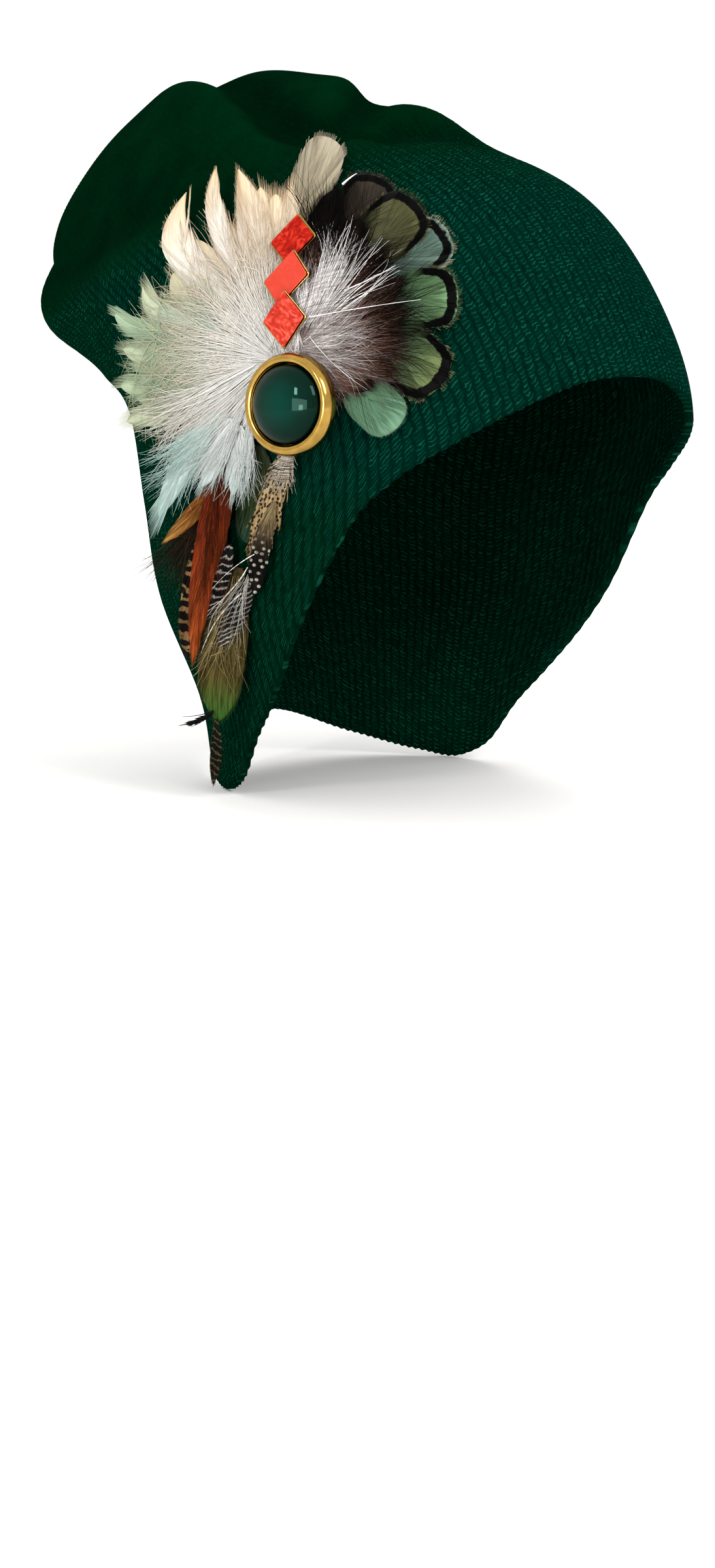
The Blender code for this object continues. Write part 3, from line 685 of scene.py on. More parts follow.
# ---------------------------------------------------------------------------------------------------------------
# The knit


class Section(NamedTuple):
    """One ring of the knit tube, by its foremost and rearmost points and its half width."""

    station: float
    front_reach: float
    front_height: float
    back_reach: float
    back_height: float
    half_width: float


class Fold(NamedTuple):
    """A furrow from start to end with a middle that draws it aside, each a turn and a station, and its lip."""

    start: Place
    middle: Place
    end: Place
    depth: float
    half_width: float
    lip: float


class Swell(NamedTuple):
    """A soft rounded rise or hollow of the knit."""

    turn: float
    station: float
    reach: float
    rise: float


SECTIONS = tuple(Section(*row) for row in (
    (-3.0, -72.0, -120.0, 76.0, -120.0, 60.0),
    (-2.3, -78.0, -95.0, 81.0, -95.0, 64.0),
    (-1.6, -90.0, -62.0, 94.0, -62.0, 76.0),
    (-0.8, -100.0, -30.0, 102.0, -30.0, 80.5),
    (0.0, -105.0, 0.0, 105.0, 0.0, 86.0),
    (1.0, -89.0, 40.0, 112.0, 11.0, 88.0),
    (2.0, -60.0, 74.0, 120.0, 19.0, 84.0),
    (3.0, -14.5, 94.0, 130.0, 28.0, 71.0),
    (4.0, 33.0, 113.5, 140.0, 35.0, 53.0),
    (5.0, 71.0, 114.0, 147.0, 45.0, 39.0),
    (6.0, 101.0, 102.0, 140.0, 60.0, 23.0),
    (6.6, 121.0, 88.0, 124.0, 84.0, 3.0),
))

# Height of the hem by the turn to either side of its highest point.
RIM = {
    0.0: 15.3, 15.0: 13.0, 25.0: 8.0, 43.0: -5.0, 55.0: -17.0, 62.0: -28.0, 67.0: -42.0, 72.0: -57.0, 79.0: -74.0,
    88.0: -90.0, 97.0: -103.0, 105.0: -117.0, 113.0: -122.7, 128.0: -122.0, 150.0: -116.0, 180.0: -106.0,
}

FOLDS = (
    Fold((-20.0, 3.12), (-34.0, 3.35), (8.0, 5.3), 7.5, 8.0, 4.5),
    Fold((-14.0, 3.13), (-2.0, 3.28), (38.0, 3.75), 4.5, 7.0, 2.5),
    Fold((-10.0, 2.98), (2.0, 2.88), (30.0, 2.65), 3.0, 6.5, 1.5),
    Fold((-58.0, 3.0), (-76.0, 3.2), (-118.0, 3.5), 2.2, 9.0, 2.2),
)

SWELLS = (Swell(12.0, 3.08, 17.0, 4.5), Swell(-116.0, 3.2, 17.0, 9.0), Swell(-88.0, 4.2, 22.0, -3.0))


def curve(start: Any, bend: Any, end: Any, t: np.ndarray) -> np.ndarray:
    """Points of a curve from start to end that a third point draws aside."""
    return (1 - t) ** 2 * start + 2 * t * (1 - t) * bend + t**2 * end


def smooth(keys: np.ndarray, values: np.ndarray, wanted: np.ndarray) -> np.ndarray:
    """Values read off a smooth curve through a table's rows.

    Args:
        keys: The rows' places, rising.
        values: The rows' values.
        wanted: Where to read.

    Returns:
        The values, with one more axis than wanted.
    """
    values = values.reshape(len(keys), -1)
    spans = np.diff(keys)
    slopes = np.diff(values, axis=0) / spans[:, None]
    before, after = spans[:-1, None], spans[1:, None]
    inner = (after * slopes[:-1] + before * slopes[1:]) / (before + after)
    tangents = np.concatenate([slopes[:1], inner, slopes[-1:]])
    row = np.clip(np.searchsorted(keys, wanted, side="right") - 1, 0, len(keys) - 2)
    span = spans[row][..., None]
    t = (wanted[..., None] - keys[row][..., None]) / span
    return (
        (2 * t**3 - 3 * t**2 + 1) * values[row]
        + (t**3 - 2 * t**2 + t) * span * tangents[row]
        + (3 * t**2 - 2 * t**3) * values[row + 1]
        + (t**3 - t**2) * span * tangents[row + 1]
    )


def ring_faces(rows: int, columns: int, first: int = 0, flip: bool = False) -> Faces:
    """Quads between rows that go round.

    Args:
        rows: How many rows.
        columns: Points in a row.
        first: Number of the first point.
        flip: Turn the faces round.

    Returns:
        The faces.
    """
    faces = []
    for here in range(first, first + (rows - 1) * columns, columns):
        for column in range(columns):
            beside, above = (column + 1) % columns, here + columns
            face = (here + column, here + beside, above + beside, above + column)
            faces.append(face[::-1] if flip else face)
    return faces


def outward(grid: np.ndarray) -> np.ndarray:
    """Outward unit normals of a grid of rows that go round.

    Args:
        grid: Points by row and column.

    Returns:
        A normal for each point.
    """
    round_way = np.roll(grid, -1, axis=1) - np.roll(grid, 1, axis=1)
    normal = np.cross(round_way, np.gradient(grid, axis=0))
    return normal / np.maximum(np.linalg.norm(normal, axis=2, keepdims=True), 1e-9)


def within_turn(turns: np.ndarray) -> np.ndarray:
    """Turns brought between -180 and 180 degrees."""
    return (turns + 180.0) % 360.0 - 180.0


@dataclass
class KnitShell:
    """The ribbed knit, from its hem to the closed end of the slouch."""

    wall: float = 2.6
    brow_narrowing: float = 0.06
    crown_lean_turn: float = 19.0
    rim_twist: float = 6.0
    rim_span: Span = (-3.2, 1.2)
    halvings: int = 24
    fold_steps: int = 14
    fold_fade: tuple[float, float, float] = (0.12, 0.82, 0.6)
    lip_place: float = 1.5
    lip_width: float = 1.1
    ribs: int = 160
    points_per_rib: int = 4
    rows: int = 116
    inner_points_per_rib: int = 2
    inner_rows: int = 58
    rib_height: float = 0.38
    inner_rib_height: float = 0.35
    rib_sink: float = 0.75
    rib_roundness: float = 0.7
    rib_end: float = 6.4
    inner_rib_end: float = 6.2
    nap_flattening: float = 0.75
    hem_scallop: float = 0.35
    hem_fade: Span = (0.25, 12.0)
    # Painted shade: these set where the velvet pile is painted dark as shade, on the slouch, the rear and the low
    # sides.
    nap_and_shade_stations: Span = (1.7, 3.0)
    nap_and_shade_turns: Span = (72.0, 108.0)
    rear_nap_and_shade: float = 0.62
    low_nap_and_shade: float = 0.6
    low_station: float = -0.1
    low_reach: float = 0.7
    # Painted shade: the whole inside takes this share of the dark velvet colour.
    inner_nap_and_shade: float = 0.45
    full_crease: float = 2.5
    finish: RibbedYarn = field(default_factory=RibbedYarn)

    def ring_points(self, stations: np.ndarray, turns: np.ndarray) -> np.ndarray:
        """Points of the unfolded knit.

        Args:
            stations: Places along the tube.
            turns: Angles round it.

        Returns:
            The points.
        """
        table = np.array(SECTIONS)
        row = smooth(table[:, 0], table[:, 1:], stations)
        front_reach, front_height, back_reach, back_height, half_width = np.moveaxis(row, -1, 0)
        half_length = 0.5 * np.hypot(back_reach - front_reach, front_height - back_height)
        tilt = np.arctan2(front_height - back_height, back_reach - front_reach)
        turn = np.radians(turns)
        x = half_width * np.sin(turn) * (1.0 - self.brow_narrowing * np.cos(turn))
        y = -half_length * np.cos(turn)
        lean = math.radians(self.crown_lean_turn)
        back = np.array([-math.sin(lean), math.cos(lean), 0.0])
        across = np.array([math.cos(lean), math.sin(lean), 0.0])
        along_back = x * back[0] + y * back[1]
        along_across = x * across[0] + y * across[1]
        reach = (front_reach + back_reach) / 2 + along_back * np.cos(tilt)
        height = (front_height + back_height) / 2 - along_back * np.sin(tilt)
        level = reach[..., None] * back + along_across[..., None] * across
        return level + height[..., None] * np.array([0.0, 0.0, 1.0])

    def rim_stations(self, turns: np.ndarray) -> np.ndarray:
        """The station at which each column meets the hem, by halving.

        Args:
            turns: Angles round the hat.

        Returns:
            A station for each.
        """
        at, height = np.array(list(RIM.items())).T
        keys = np.concatenate([-at[:0:-1], at, 360.0 - at[-2::-1]])
        values = np.concatenate([height[:0:-1], height, height[-2::-1]])
        wanted = smooth(keys, values, np.abs(within_turn(turns - self.rim_twist)))[..., 0]
        low, high = (np.full(len(turns), end) for end in self.rim_span)
        for _ in range(self.halvings):
            middle = (low + high) / 2
            below = self.ring_points(middle, turns)[:, 2] < wanted
            low, high = np.where(below, middle, low), np.where(below, high, middle)
        return (low + high) / 2

    def fold_push(self, fold: Fold, grid: np.ndarray, normals: np.ndarray) -> np.ndarray:
        """How far a fold moves each point along its normal.

        Args:
            fold: The fold.
            grid: Points by row and column.
            normals: Their normals.

        Returns:
            A distance for each point.
        """
        t = np.linspace(0.0, 1.0, self.fold_steps)[:, None]
        way = curve(*(np.array(place) for place in fold[:3]), t)
        path = self.ring_points(way[:, 1], way[:, 0])
        nearest = np.full(grid.shape[:2], np.inf)
        signed = np.zeros(grid.shape[:2])
        share = np.zeros(grid.shape[:2])
        for number, (start, end) in enumerate(zip(path[:-1], path[1:])):
            along = end - start
            offset = grid - start
            part = np.clip(offset @ along / (along @ along), 0.0, 1.0)
            away = offset - part[..., None] * along
            distance = np.linalg.norm(away, axis=2)
            side = np.sign(np.sum(np.cross(along, away) * normals, axis=2))
            closer = distance < nearest
            nearest = np.where(closer, distance, nearest)
            signed = np.where(closer, side * distance, signed)
            share = np.where(closer, (number + part) / (len(path) - 1), share)
        first, reach, power = self.fold_fade
        out = signed / fold.half_width
        lip = fold.lip * np.exp(-(((out - self.lip_place) / self.lip_width) ** 2))
        return np.sin(np.pi * (first + reach * share)) ** power * (lip - fold.depth * np.exp(-(out**2)))

    def grid(self, columns: int, rows: int, first_turn: float = 0.0) -> tuple[np.ndarray, np.ndarray, np.ndarray]:
        """The outer face of the knit.

        Args:
            columns: Points round the head.
            rows: Points from the hem to the closed end.
            first_turn: The first column's turn.

        Returns:
            Points by row and column, and the station of each and how far a fold moves it.
        """
        turns = first_turn + np.arange(columns) * 360.0 / columns
        first = self.rim_stations(within_turn(turns))
        stations = first + (SECTIONS[-1].station - first) * np.linspace(0.0, 1.0, rows)[:, None]
        plain = self.ring_points(stations, np.broadcast_to(turns, stations.shape))
        normals = outward(plain)
        creased = sum(self.fold_push(fold, plain, normals) for fold in FOLDS)
        push = creased
        for swell in SWELLS:
            middle = self.ring_points(np.array([swell.station]), np.array([swell.turn]))[0]
            distance = np.linalg.norm(plain - middle, axis=2)
            push = push + swell.rise * np.exp(-((distance / swell.reach) ** 2))
        return plain + normals * push[..., None], stations, creased

    def build(self, tree: Tree) -> Piece:
        """Build and dress the knit.

        Args:
            tree: The geometry tree that raises the ribs.

        Returns:
            The finished piece.
        """
        columns, inner_columns = self.ribs * self.points_per_rib, self.ribs * self.inner_points_per_rib
        skip = columns // inner_columns
        outer, stations, creased = self.grid(columns, self.rows, 180.0)
        lined, inner_stations, _ = self.grid(inner_columns, self.inner_rows, 180.0)
        inner = lined - outward(lined) * self.wall
        phase = np.arange(columns) / self.points_per_rib
        inner_phase = np.arange(inner_columns) / self.inner_points_per_rib
        outer[0, :, 2] -= self.hem_scallop * np.cos(2.0 * np.pi * phase) * 0.5
        inner[0, :, 2] = outer[0, ::skip, 2]
        tips = [outer[-1].mean(axis=0), inner[-1].mean(axis=0)]
        points = np.concatenate([outer.reshape(-1, 3), inner.reshape(-1, 3), tips])
        mesh = bpy.data.meshes.new("ribbed_knit")
        mesh.from_pydata((points * MM).tolist(), [], self.faces(columns, inner_columns))
        mesh.validate()
        brushed = self.brushed(stations, 180.0 + np.arange(columns) * 360.0 / columns)
        faded = np.minimum(1.0, np.linspace(*self.hem_fade, self.rows))[:, None]
        rise = self.rib_height * (1.0 - self.nap_flattening * brushed) * faded * (stations < self.rib_end)
        inner_rise = self.inner_rib_height * (inner_stations < self.inner_rib_end)
        carried = {
            "rib_phase": (np.tile(phase, self.rows), np.tile(inner_phase, self.inner_rows), [0.0, 0.0]),
            "rib_rise": (rise.ravel() * MM, inner_rise.ravel() * MM, [0.0, 0.0]),
            # This share also paints shade: the slouch, the rear, the low sides and the whole inside are painted
            # darker.
            "brushed": (brushed.ravel(), np.full(inner_rise.size, self.inner_nap_and_shade), [1.0, 1.0]),
            # Painted light and shade: from this value the folds' lips are painted paler and their furrows darker.
            "crease": (np.clip(creased / self.full_crease, -1.0, 1.0).ravel(), np.zeros(inner_rise.size + 2)),
        }
        for name, parts in carried.items():
            numbers = np.concatenate(parts).astype(np.float32)
            mesh.attributes.new(name, "FLOAT", "POINT").data.foreach_set("value", numbers)
        self.map_cloth(mesh, ((outer, phase), (inner, inner_phase)))
        piece = placed("ribbed_knit", mesh)
        settings = {"Sink": self.rib_sink, "Roundness": self.rib_roundness, "Material": self.finish.material()}
        apply_tree(piece, tree, settings)
        return piece

    def faces(self, columns: int, inner_columns: int) -> Faces:
        """The faces of the knit: outside, inside, hem and the two closed ends.

        Args:
            columns: Points round the outside.
            inner_columns: Points round the inside.

        Returns:
            The faces.
        """
        outer_count, inner_count = self.rows * columns, self.inner_rows * inner_columns
        skip, tip = columns // inner_columns, outer_count + inner_count
        faces = ring_faces(self.rows, columns)
        faces += ring_faces(self.inner_rows, inner_columns, first=outer_count, flip=True)
        for column in range(inner_columns):
            here, there = outer_count + column, outer_count + (column + 1) % inner_columns
            low, middle, high = skip * column, skip * column + 1, (skip * column + 2) % columns
            faces += [(low, here, middle), (middle, here, there), (middle, there, high)]
        last, inner_last = outer_count - columns, tip - inner_columns
        faces += [(last + c, last + (c + 1) % columns, tip) for c in range(columns)]
        faces += [(inner_last + (c + 1) % inner_columns, inner_last + c, tip + 1) for c in range(inner_columns)]
        return faces

    def brushed(self, stations: np.ndarray, turns: np.ndarray) -> np.ndarray:
        """How far each point of the cloth has a velvet pile and is painted dark as shade: the slouch, the rear and a
        little the sides below.

        Args:
            stations: The station of each point.
            turns: The turn of each column.

        Returns:
            A share for each point.
        """
        low, high = self.nap_and_shade_stations
        up = np.clip((stations - low) / (high - low), 0.0, 1.0)
        near, far = self.nap_and_shade_turns
        round_back = self.rear_nap_and_shade * np.clip((np.abs(within_turn(turns)) - near) / (far - near), 0.0, 1.0)
        down = self.low_nap_and_shade * np.clip((self.low_station - stations) / self.low_reach, 0.0, 1.0)
        share = np.maximum(np.maximum(up, round_back), down)
        return share * share * (3.0 - 2.0 * share)

    def map_cloth(self, mesh: bpy.types.Mesh, sides: tuple[tuple[np.ndarray, np.ndarray], ...]) -> None:
        """Give the knit its map: ribs across, millimetres along.

        Args:
            mesh: The knit's mesh.
            sides: For the outside and the inside, the points by row and column and the rib number of each column.
        """
        rib_of, mm_of = [], []
        for grid, ribs in sides:
            steps = np.linalg.norm(np.diff(grid, axis=0), axis=2)
            lengths = np.concatenate([np.zeros((1, grid.shape[1])), np.cumsum(steps, axis=0)])
            rib_of.append(np.tile(ribs, grid.shape[0]))
            mm_of.append(lengths.ravel())
        rib_of.append(np.zeros(2))
        mm_of.append(np.array([side.max() for side in mm_of]))
        corner = np.empty(len(mesh.loops), np.int32)
        mesh.loops.foreach_get("vertex_index", corner)
        starts, totals = (np.empty(len(mesh.polygons), np.int32) for _ in range(2))
        mesh.polygons.foreach_get("loop_start", starts)
        mesh.polygons.foreach_get("loop_total", totals)
        ribs = np.concatenate(rib_of)[corner]
        most = np.maximum.reduceat(ribs, starts)
        ribs = ribs + ((np.repeat(most, totals) - ribs) > self.ribs / 2) * self.ribs
        places = np.column_stack([ribs, np.concatenate(mm_of)[corner]]).astype(np.float32)
        mesh.uv_layers.new(name="knit_map").data.foreach_set("uv", places.ravel())


# ---------------------------------------------------------------------------------------------------------------
# The cockade's bed and its feathers


@dataclass
class CockadeBed:
    """The side of the hat that the cockade is laid on, seen from its layout's eye."""

    INSIDE: ClassVar[float] = 1.001

    shell: KnitShell
    middle: tuple[float, float, float] = (-78.4, -40.3, 6.9)
    eye: tuple[float, float, float] = (-571.4, -758.2, 33.2)
    turn: float = -35.9
    dip: float = 9.4
    step: float = 3.0
    across_span: Span = (-72.0, 69.0)
    up_span: Span = (-132.0, 96.0)
    steepest: float = 0.9
    shell_columns: int = 60
    shell_rows: int = 26

    def __post_init__(self) -> None:
        """Measure the bed once."""
        outer, _, _ = self.shell.grid(self.shell_columns, self.shell_rows)
        faces = ring_faces(self.shell_rows, self.shell_columns)
        self.tree = BVHTree.FromPolygons([Vector(point) for point in outer.reshape(-1, 3)], faces)
        turn, dip = math.radians(self.turn), math.radians(self.dip)
        self.right = np.array([math.cos(turn), math.sin(turn), 0.0])
        forward = np.array([-math.sin(turn) * math.cos(dip), math.cos(turn) * math.cos(dip), -math.sin(dip)])
        self.upward = np.cross(self.right, forward)
        self.columns = np.arange(self.across_span[0], self.across_span[1] + self.step, self.step)
        self.lines = np.arange(self.up_span[0], self.up_span[1] + self.step, self.step)
        self.ranges = self.slope_limited(self.measured())

    def rays(self, places: np.ndarray) -> np.ndarray:
        """Unit directions from the eye through places on the layout.

        Args:
            places: Across and up on the last axis.

        Returns:
            The directions.
        """
        points = np.array(self.middle) + self.right * places[..., 0:1] + self.upward * places[..., 1:2]
        away = points - np.array(self.eye)
        return away / np.linalg.norm(away, axis=-1, keepdims=True)

    def measured(self) -> np.ndarray:
        """Distance to the knit along each ray of the bed.

        Returns:
            The distances, infinite where a ray misses.
        """
        ranges = np.full((len(self.lines), len(self.columns)), np.inf)
        directions = self.rays(np.stack(np.meshgrid(self.columns, self.lines), axis=-1))
        for at in np.ndindex(ranges.shape):
            hit = self.tree.ray_cast(Vector(self.eye), Vector(directions[at]))
            if hit[0] is not None:
                ranges[at] = hit[3]
        return ranges

    def slope_limited(self, ranges: np.ndarray) -> np.ndarray:
        """The distances where stiff feathers stand off the knit instead of following a steep drop.

        Args:
            ranges: The measured distances.

        Returns:
            The limited distances.
        """
        for _ in range(len(self.lines)):
            before = ranges.copy()
            for row_step, column_step in ((0, 1), (1, 0), (1, 1), (1, -1)):
                most = self.steepest * self.step * math.hypot(row_step, column_step)
                for sign in (1, -1):
                    moved = np.roll(ranges, (sign * row_step, sign * column_step), axis=(0, 1))
                    if row_step:
                        moved[0 if sign > 0 else -1, :] = np.inf
                    if column_step:
                        moved[:, 0 if sign * column_step > 0 else -1] = np.inf
                    ranges = np.minimum(ranges, moved + most)
            if np.array_equal(before, ranges):
                break
        return ranges

    def seat(self, places: np.ndarray, lift: np.ndarray) -> np.ndarray:
        """The points at these places on the layout, this far off the bed.

        Args:
            places: Across and up on the last axis.
            lift: Height of each off the bed.

        Returns:
            The points.
        """
        column = np.clip((places[..., 0] - self.columns[0]) / self.step, 0, len(self.columns) - self.INSIDE)
        row = np.clip((places[..., 1] - self.lines[0]) / self.step, 0, len(self.lines) - self.INSIDE)
        i, j = row.astype(int), column.astype(int)
        v, u = row - i, column - j
        low = self.ranges[i, j] * (1 - u) + self.ranges[i, j + 1] * u
        high = self.ranges[i + 1, j] * (1 - u) + self.ranges[i + 1, j + 1] * u
        distance = low * (1 - v) + high * v - lift
        return np.array(self.eye) + self.rays(places) * distance[..., None]


class Dressing:
    """The points, faces and loose strands of one piece, with the values that its finish reads."""

    body_tone: float = 0.62
    strand_sides: int = 3

    def __init__(self) -> None:
        """Start empty."""
        self.points: list[np.ndarray] = []
        self.values: list[np.ndarray] = []
        self.vane: list[np.ndarray] = []
        self.faces: Faces = []
        self.edges: list[np.ndarray] = [np.empty((0, 2), int)]
        self.count = 0

    def add(self, points: np.ndarray, vane: np.ndarray, values: np.ndarray) -> int:
        """Add points with their values.

        Args:
            points: One row each, in millimetres.
            vane: Millimetres across, along and from the edge.
            values: Along, tint, strand, thickness and whether it is on a strand.

        Returns:
            The number of the first.
        """
        first = self.count
        self.points.append(points)
        self.vane.append(vane)
        self.values.append(values)
        self.count += len(points)
        return first

    def add_slab(self, top: np.ndarray, bottom: np.ndarray, vane: np.ndarray, along: np.ndarray, tint: float) -> None:
        """Add a closed slab between two grids that match.

        Args:
            top: Points of the upper face by row and column.
            bottom: Points of the lower face.
            vane: Millimetres across, along and from the edge for each grid point.
            along: Share of the feather's length for each grid point.
            tint: How far it takes the finish's tint.
        """
        rows, columns = top.shape[:2]
        size = rows * columns
        plain = np.zeros(size)
        values = np.column_stack([along.ravel(), plain + tint, plain + self.body_tone, plain, plain])
        points, vanes = (np.concatenate(pair).reshape(-1, 3) for pair in ((top, bottom), (vane, vane)))
        first = self.add(points, vanes, np.concatenate([values] * 2))
        for a in (first + row * columns + column for row in range(rows - 1) for column in range(columns - 1)):
            quad = (a, a + columns, a + columns + 1, a + 1)
            self.faces += [quad, tuple(index + size for index in reversed(quad))]
        border = list(range(columns)) + [row * columns + columns - 1 for row in range(1, rows)]
        border += [(rows - 1) * columns + column for column in range(columns - 2, -1, -1)]
        border += [row * columns for row in range(rows - 2, 0, -1)]
        for here, there in zip(border, border[1:] + border[:1]):
            self.faces.append((first + here, first + there, first + there + size, first + here + size))

    def add_strands(
        self, points: np.ndarray, thickness: np.ndarray, vane: np.ndarray, along: np.ndarray,
        tint: np.ndarray | float, tone: np.ndarray,
    ) -> None:
        """Add strands of one length in points.

        Args:
            points: Points by strand and step.
            thickness: Radius of each point.
            vane: Millimetres across, along and from the edge of each point.
            along: Share of the feather's length of each point.
            tint: How far each takes the finish's tint.
            tone: The tone of each strand.
        """
        strands, steps = points.shape[:2]
        size = strands * steps
        tints = np.broadcast_to(tint, (strands, steps))
        values = (along.ravel(), tints.ravel(), np.repeat(tone, steps), thickness.ravel() * MM, np.ones(size))
        first = self.add(points.reshape(-1, 3), vane.reshape(-1, 3), np.column_stack(values))
        index = first + np.arange(size).reshape(strands, steps)
        self.edges.append(np.column_stack([index[:, :-1].ravel(), index[:, 1:].ravel()]))

    def piece(self, name: str, tree: Tree, material: Material) -> Piece:
        """Make the piece.

        Args:
            name: Its name.
            tree: The geometry tree that gives the strands their bodies.
            material: Its material.

        Returns:
            The finished piece.
        """
        mesh = bpy.data.meshes.new(name)
        points = np.concatenate(self.points) * MM
        mesh.from_pydata(points.tolist(), np.concatenate(self.edges).tolist(), self.faces)
        mesh.shade_smooth()
        values = np.concatenate(self.values).astype(np.float32)
        for column, label in enumerate(("along", "tint", "strand", "thickness")):
            layer = mesh.attributes.new(label, "FLOAT", "POINT")
            layer.data.foreach_set("value", np.ascontiguousarray(values[:, column]))
        mesh.attributes.new("is_strand", "BOOLEAN", "POINT").data.foreach_set("value", values[:, 4] > 0.5)
        vane = np.concatenate(self.vane).astype(np.float32)
        mesh.attributes.new("vane_mm", "FLOAT_VECTOR", "POINT").data.foreach_set("vector", vane.ravel())
        made = placed(name, mesh)
        apply_tree(made, tree, {"Sides": self.strand_sides, "Material": material})
        return made


@dataclass(frozen=True)
class Vane:
    """One feather or lock, by its root and tip on the layout, its bow, half width, lift and how blunt it is."""

    FULL_AT: ClassVar[float] = 0.5
    NARROWS_FROM: ClassVar[float] = 0.62
    ROOT_WIDTH: ClassVar[float] = 0.22
    LEAST_WIDTH: ClassVar[float] = 0.03
    BODY_ROWS: ClassVar[int] = 22
    BODY_COLUMNS: ClassVar[int] = 7
    FINE_STEPS: ClassVar[int] = 400
    EVEN_STEPS: ClassVar[int] = 200
    CHUNK: ClassVar[int] = 4000
    BARB_STEPS: ClassVar[int] = 6
    BARB_LIFT: ClassVar[float] = 0.12
    BEND_AT: ClassVar[float] = 0.55
    BEND_BACK: ClassVar[float] = 0.13
    ROOT_ZONE: ClassVar[float] = 0.3
    SPLIT_AT: ClassVar[Span] = (0.25, 0.95)
    SPLIT_GAP: ClassVar[Span] = (0.012, 0.035)
    SPLIT_FADE: ClassVar[float] = 0.05
    RAGGED: ClassVar[float] = 0.35
    UNEVEN: ClassVar[float] = 0.07
    LOOSE: ClassVar[float] = 0.25

    root: Place
    tip: Place
    bow: float
    half_width: float
    lift: float
    blunt: float
    barbs: int = 60
    barb_width: float = 0.34
    sweep: float = 1.1
    splits: int = 2
    fray: float = 0.5
    camber: float = 0.9
    body: float = 0.55
    tint: float = 0.0
    body_share: float = 0.93
    body_reach: float = 0.95
    hook: float = 0.5

    def length(self) -> float:
        """The feather's length."""
        return float(np.linalg.norm(np.array(self.tip) - np.array(self.root)))

    def forward(self) -> np.ndarray:
        """The layout direction from root to tip."""
        return (np.array(self.tip) - np.array(self.root)) / self.length()

    def side(self) -> np.ndarray:
        """The layout direction to the left of the quill."""
        return self.forward()[::-1] * (-1.0, 1.0)

    def bowed(self, share: np.ndarray) -> np.ndarray:
        """How far the quill stands to its left, most at the hook."""
        power = self.hook / (1.0 - self.hook)
        return self.bow * share**power * (1.0 - share) / (self.hook**power * (1.0 - self.hook))

    def spine(self, share: np.ndarray) -> np.ndarray:
        """Places along the quill, at shares of its length."""
        way = np.array(self.tip) - np.array(self.root)
        return np.array(self.root) + way * share[..., None] + self.side() * self.bowed(share)[..., None]

    def width(self, share: np.ndarray) -> np.ndarray:
        """Half width along the quill.

        Args:
            share: Shares of the length.

        Returns:
            The half widths.
        """
        widening = np.sin(np.pi / 2 * np.minimum(share / self.FULL_AT, 1.0)) ** 0.8
        past = np.clip((share - self.NARROWS_FROM) / (1.0 - self.NARROWS_FROM), 0.0, 1.0)
        tip = (1.0 - past ** (1.0 + 3.0 * self.blunt)) ** (0.85 - 0.35 * self.blunt)
        full = self.ROOT_WIDTH + (1.0 - self.ROOT_WIDTH) * widening
        return self.half_width * full * np.maximum(tip, self.LEAST_WIDTH)

    def outline(self, side: float) -> tuple[np.ndarray, np.ndarray]:
        """One side's outline, even in length.

        Args:
            side: 1 for the left, -1 for the right.

        Returns:
            Its shares along the quill and its places.
        """
        share = 1.0 - (1.0 - np.linspace(0.0, 1.0, self.FINE_STEPS)) ** 1.8
        places = self.spine(share) + self.side() * (side * self.width(share))[:, None]
        run = np.concatenate([[0.0], np.cumsum(np.linalg.norm(np.diff(places, axis=0), axis=1))])
        even = np.linspace(0.0, run[-1], self.EVEN_STEPS)
        return np.interp(even, run, share), np.column_stack([np.interp(even, run, part) for part in places.T])

    def measures(self, places: np.ndarray) -> tuple[np.ndarray, np.ndarray]:
        """Where places lie on the feather.

        Args:
            places: Places on the layout.

        Returns:
            Millimetres across, along and from the edge, and the share of the length.
        """
        flat = places.reshape(-1, 2)
        along = (flat - np.array(self.root)) @ self.forward()
        share = np.clip(along / self.length(), 0.0, 1.0)
        across = (flat - np.array(self.root)) @ self.side() - self.bowed(share)
        border = np.concatenate([self.outline(1.0)[1], self.outline(-1.0)[1]])
        chunks = (flat[start : start + self.CHUNK, None, :] for start in range(0, len(flat), self.CHUNK))
        edge = np.concatenate([np.sqrt(((part - border) ** 2).sum(axis=2).min(axis=1)) for part in chunks])
        vane = np.column_stack([across, along, edge]).reshape(*places.shape[:-1], 3)
        return vane, share.reshape(places.shape[:-1])

    def add_to(self, dressing: Dressing, bed: CockadeBed, rng: np.random.Generator) -> None:
        """Add the thin closed blade, and over it the barbs of both sides.

        Args:
            dressing: The piece that takes them.
            bed: What they lie on.
            rng: The seeded source of their unevenness.
        """
        share = 1.0 - (1.0 - np.linspace(0.0, 1.0, self.BODY_ROWS)) ** 1.5
        halves = np.linspace(-1.0, 1.0, self.BODY_COLUMNS)
        offset = (self.width(share) * self.body_share)[:, None] * halves
        places = self.spine(share * self.body_reach)[:, None, :] + self.side() * offset[..., None]
        rise = self.camber * (1.0 - halves**2) * np.minimum(1.0, share[:, None] * 3.0 + 0.3)
        vane, along = self.measures(places)
        top = bed.seat(places, self.lift + self.body * 0.5 + rise)
        bottom = bed.seat(places, self.lift - self.body * 0.25 + rise * 0.5)
        dressing.add_slab(top, bottom, vane, along, self.tint)
        for side in (1.0, -1.0):
            self.add_barbs(dressing, bed, rng, side)

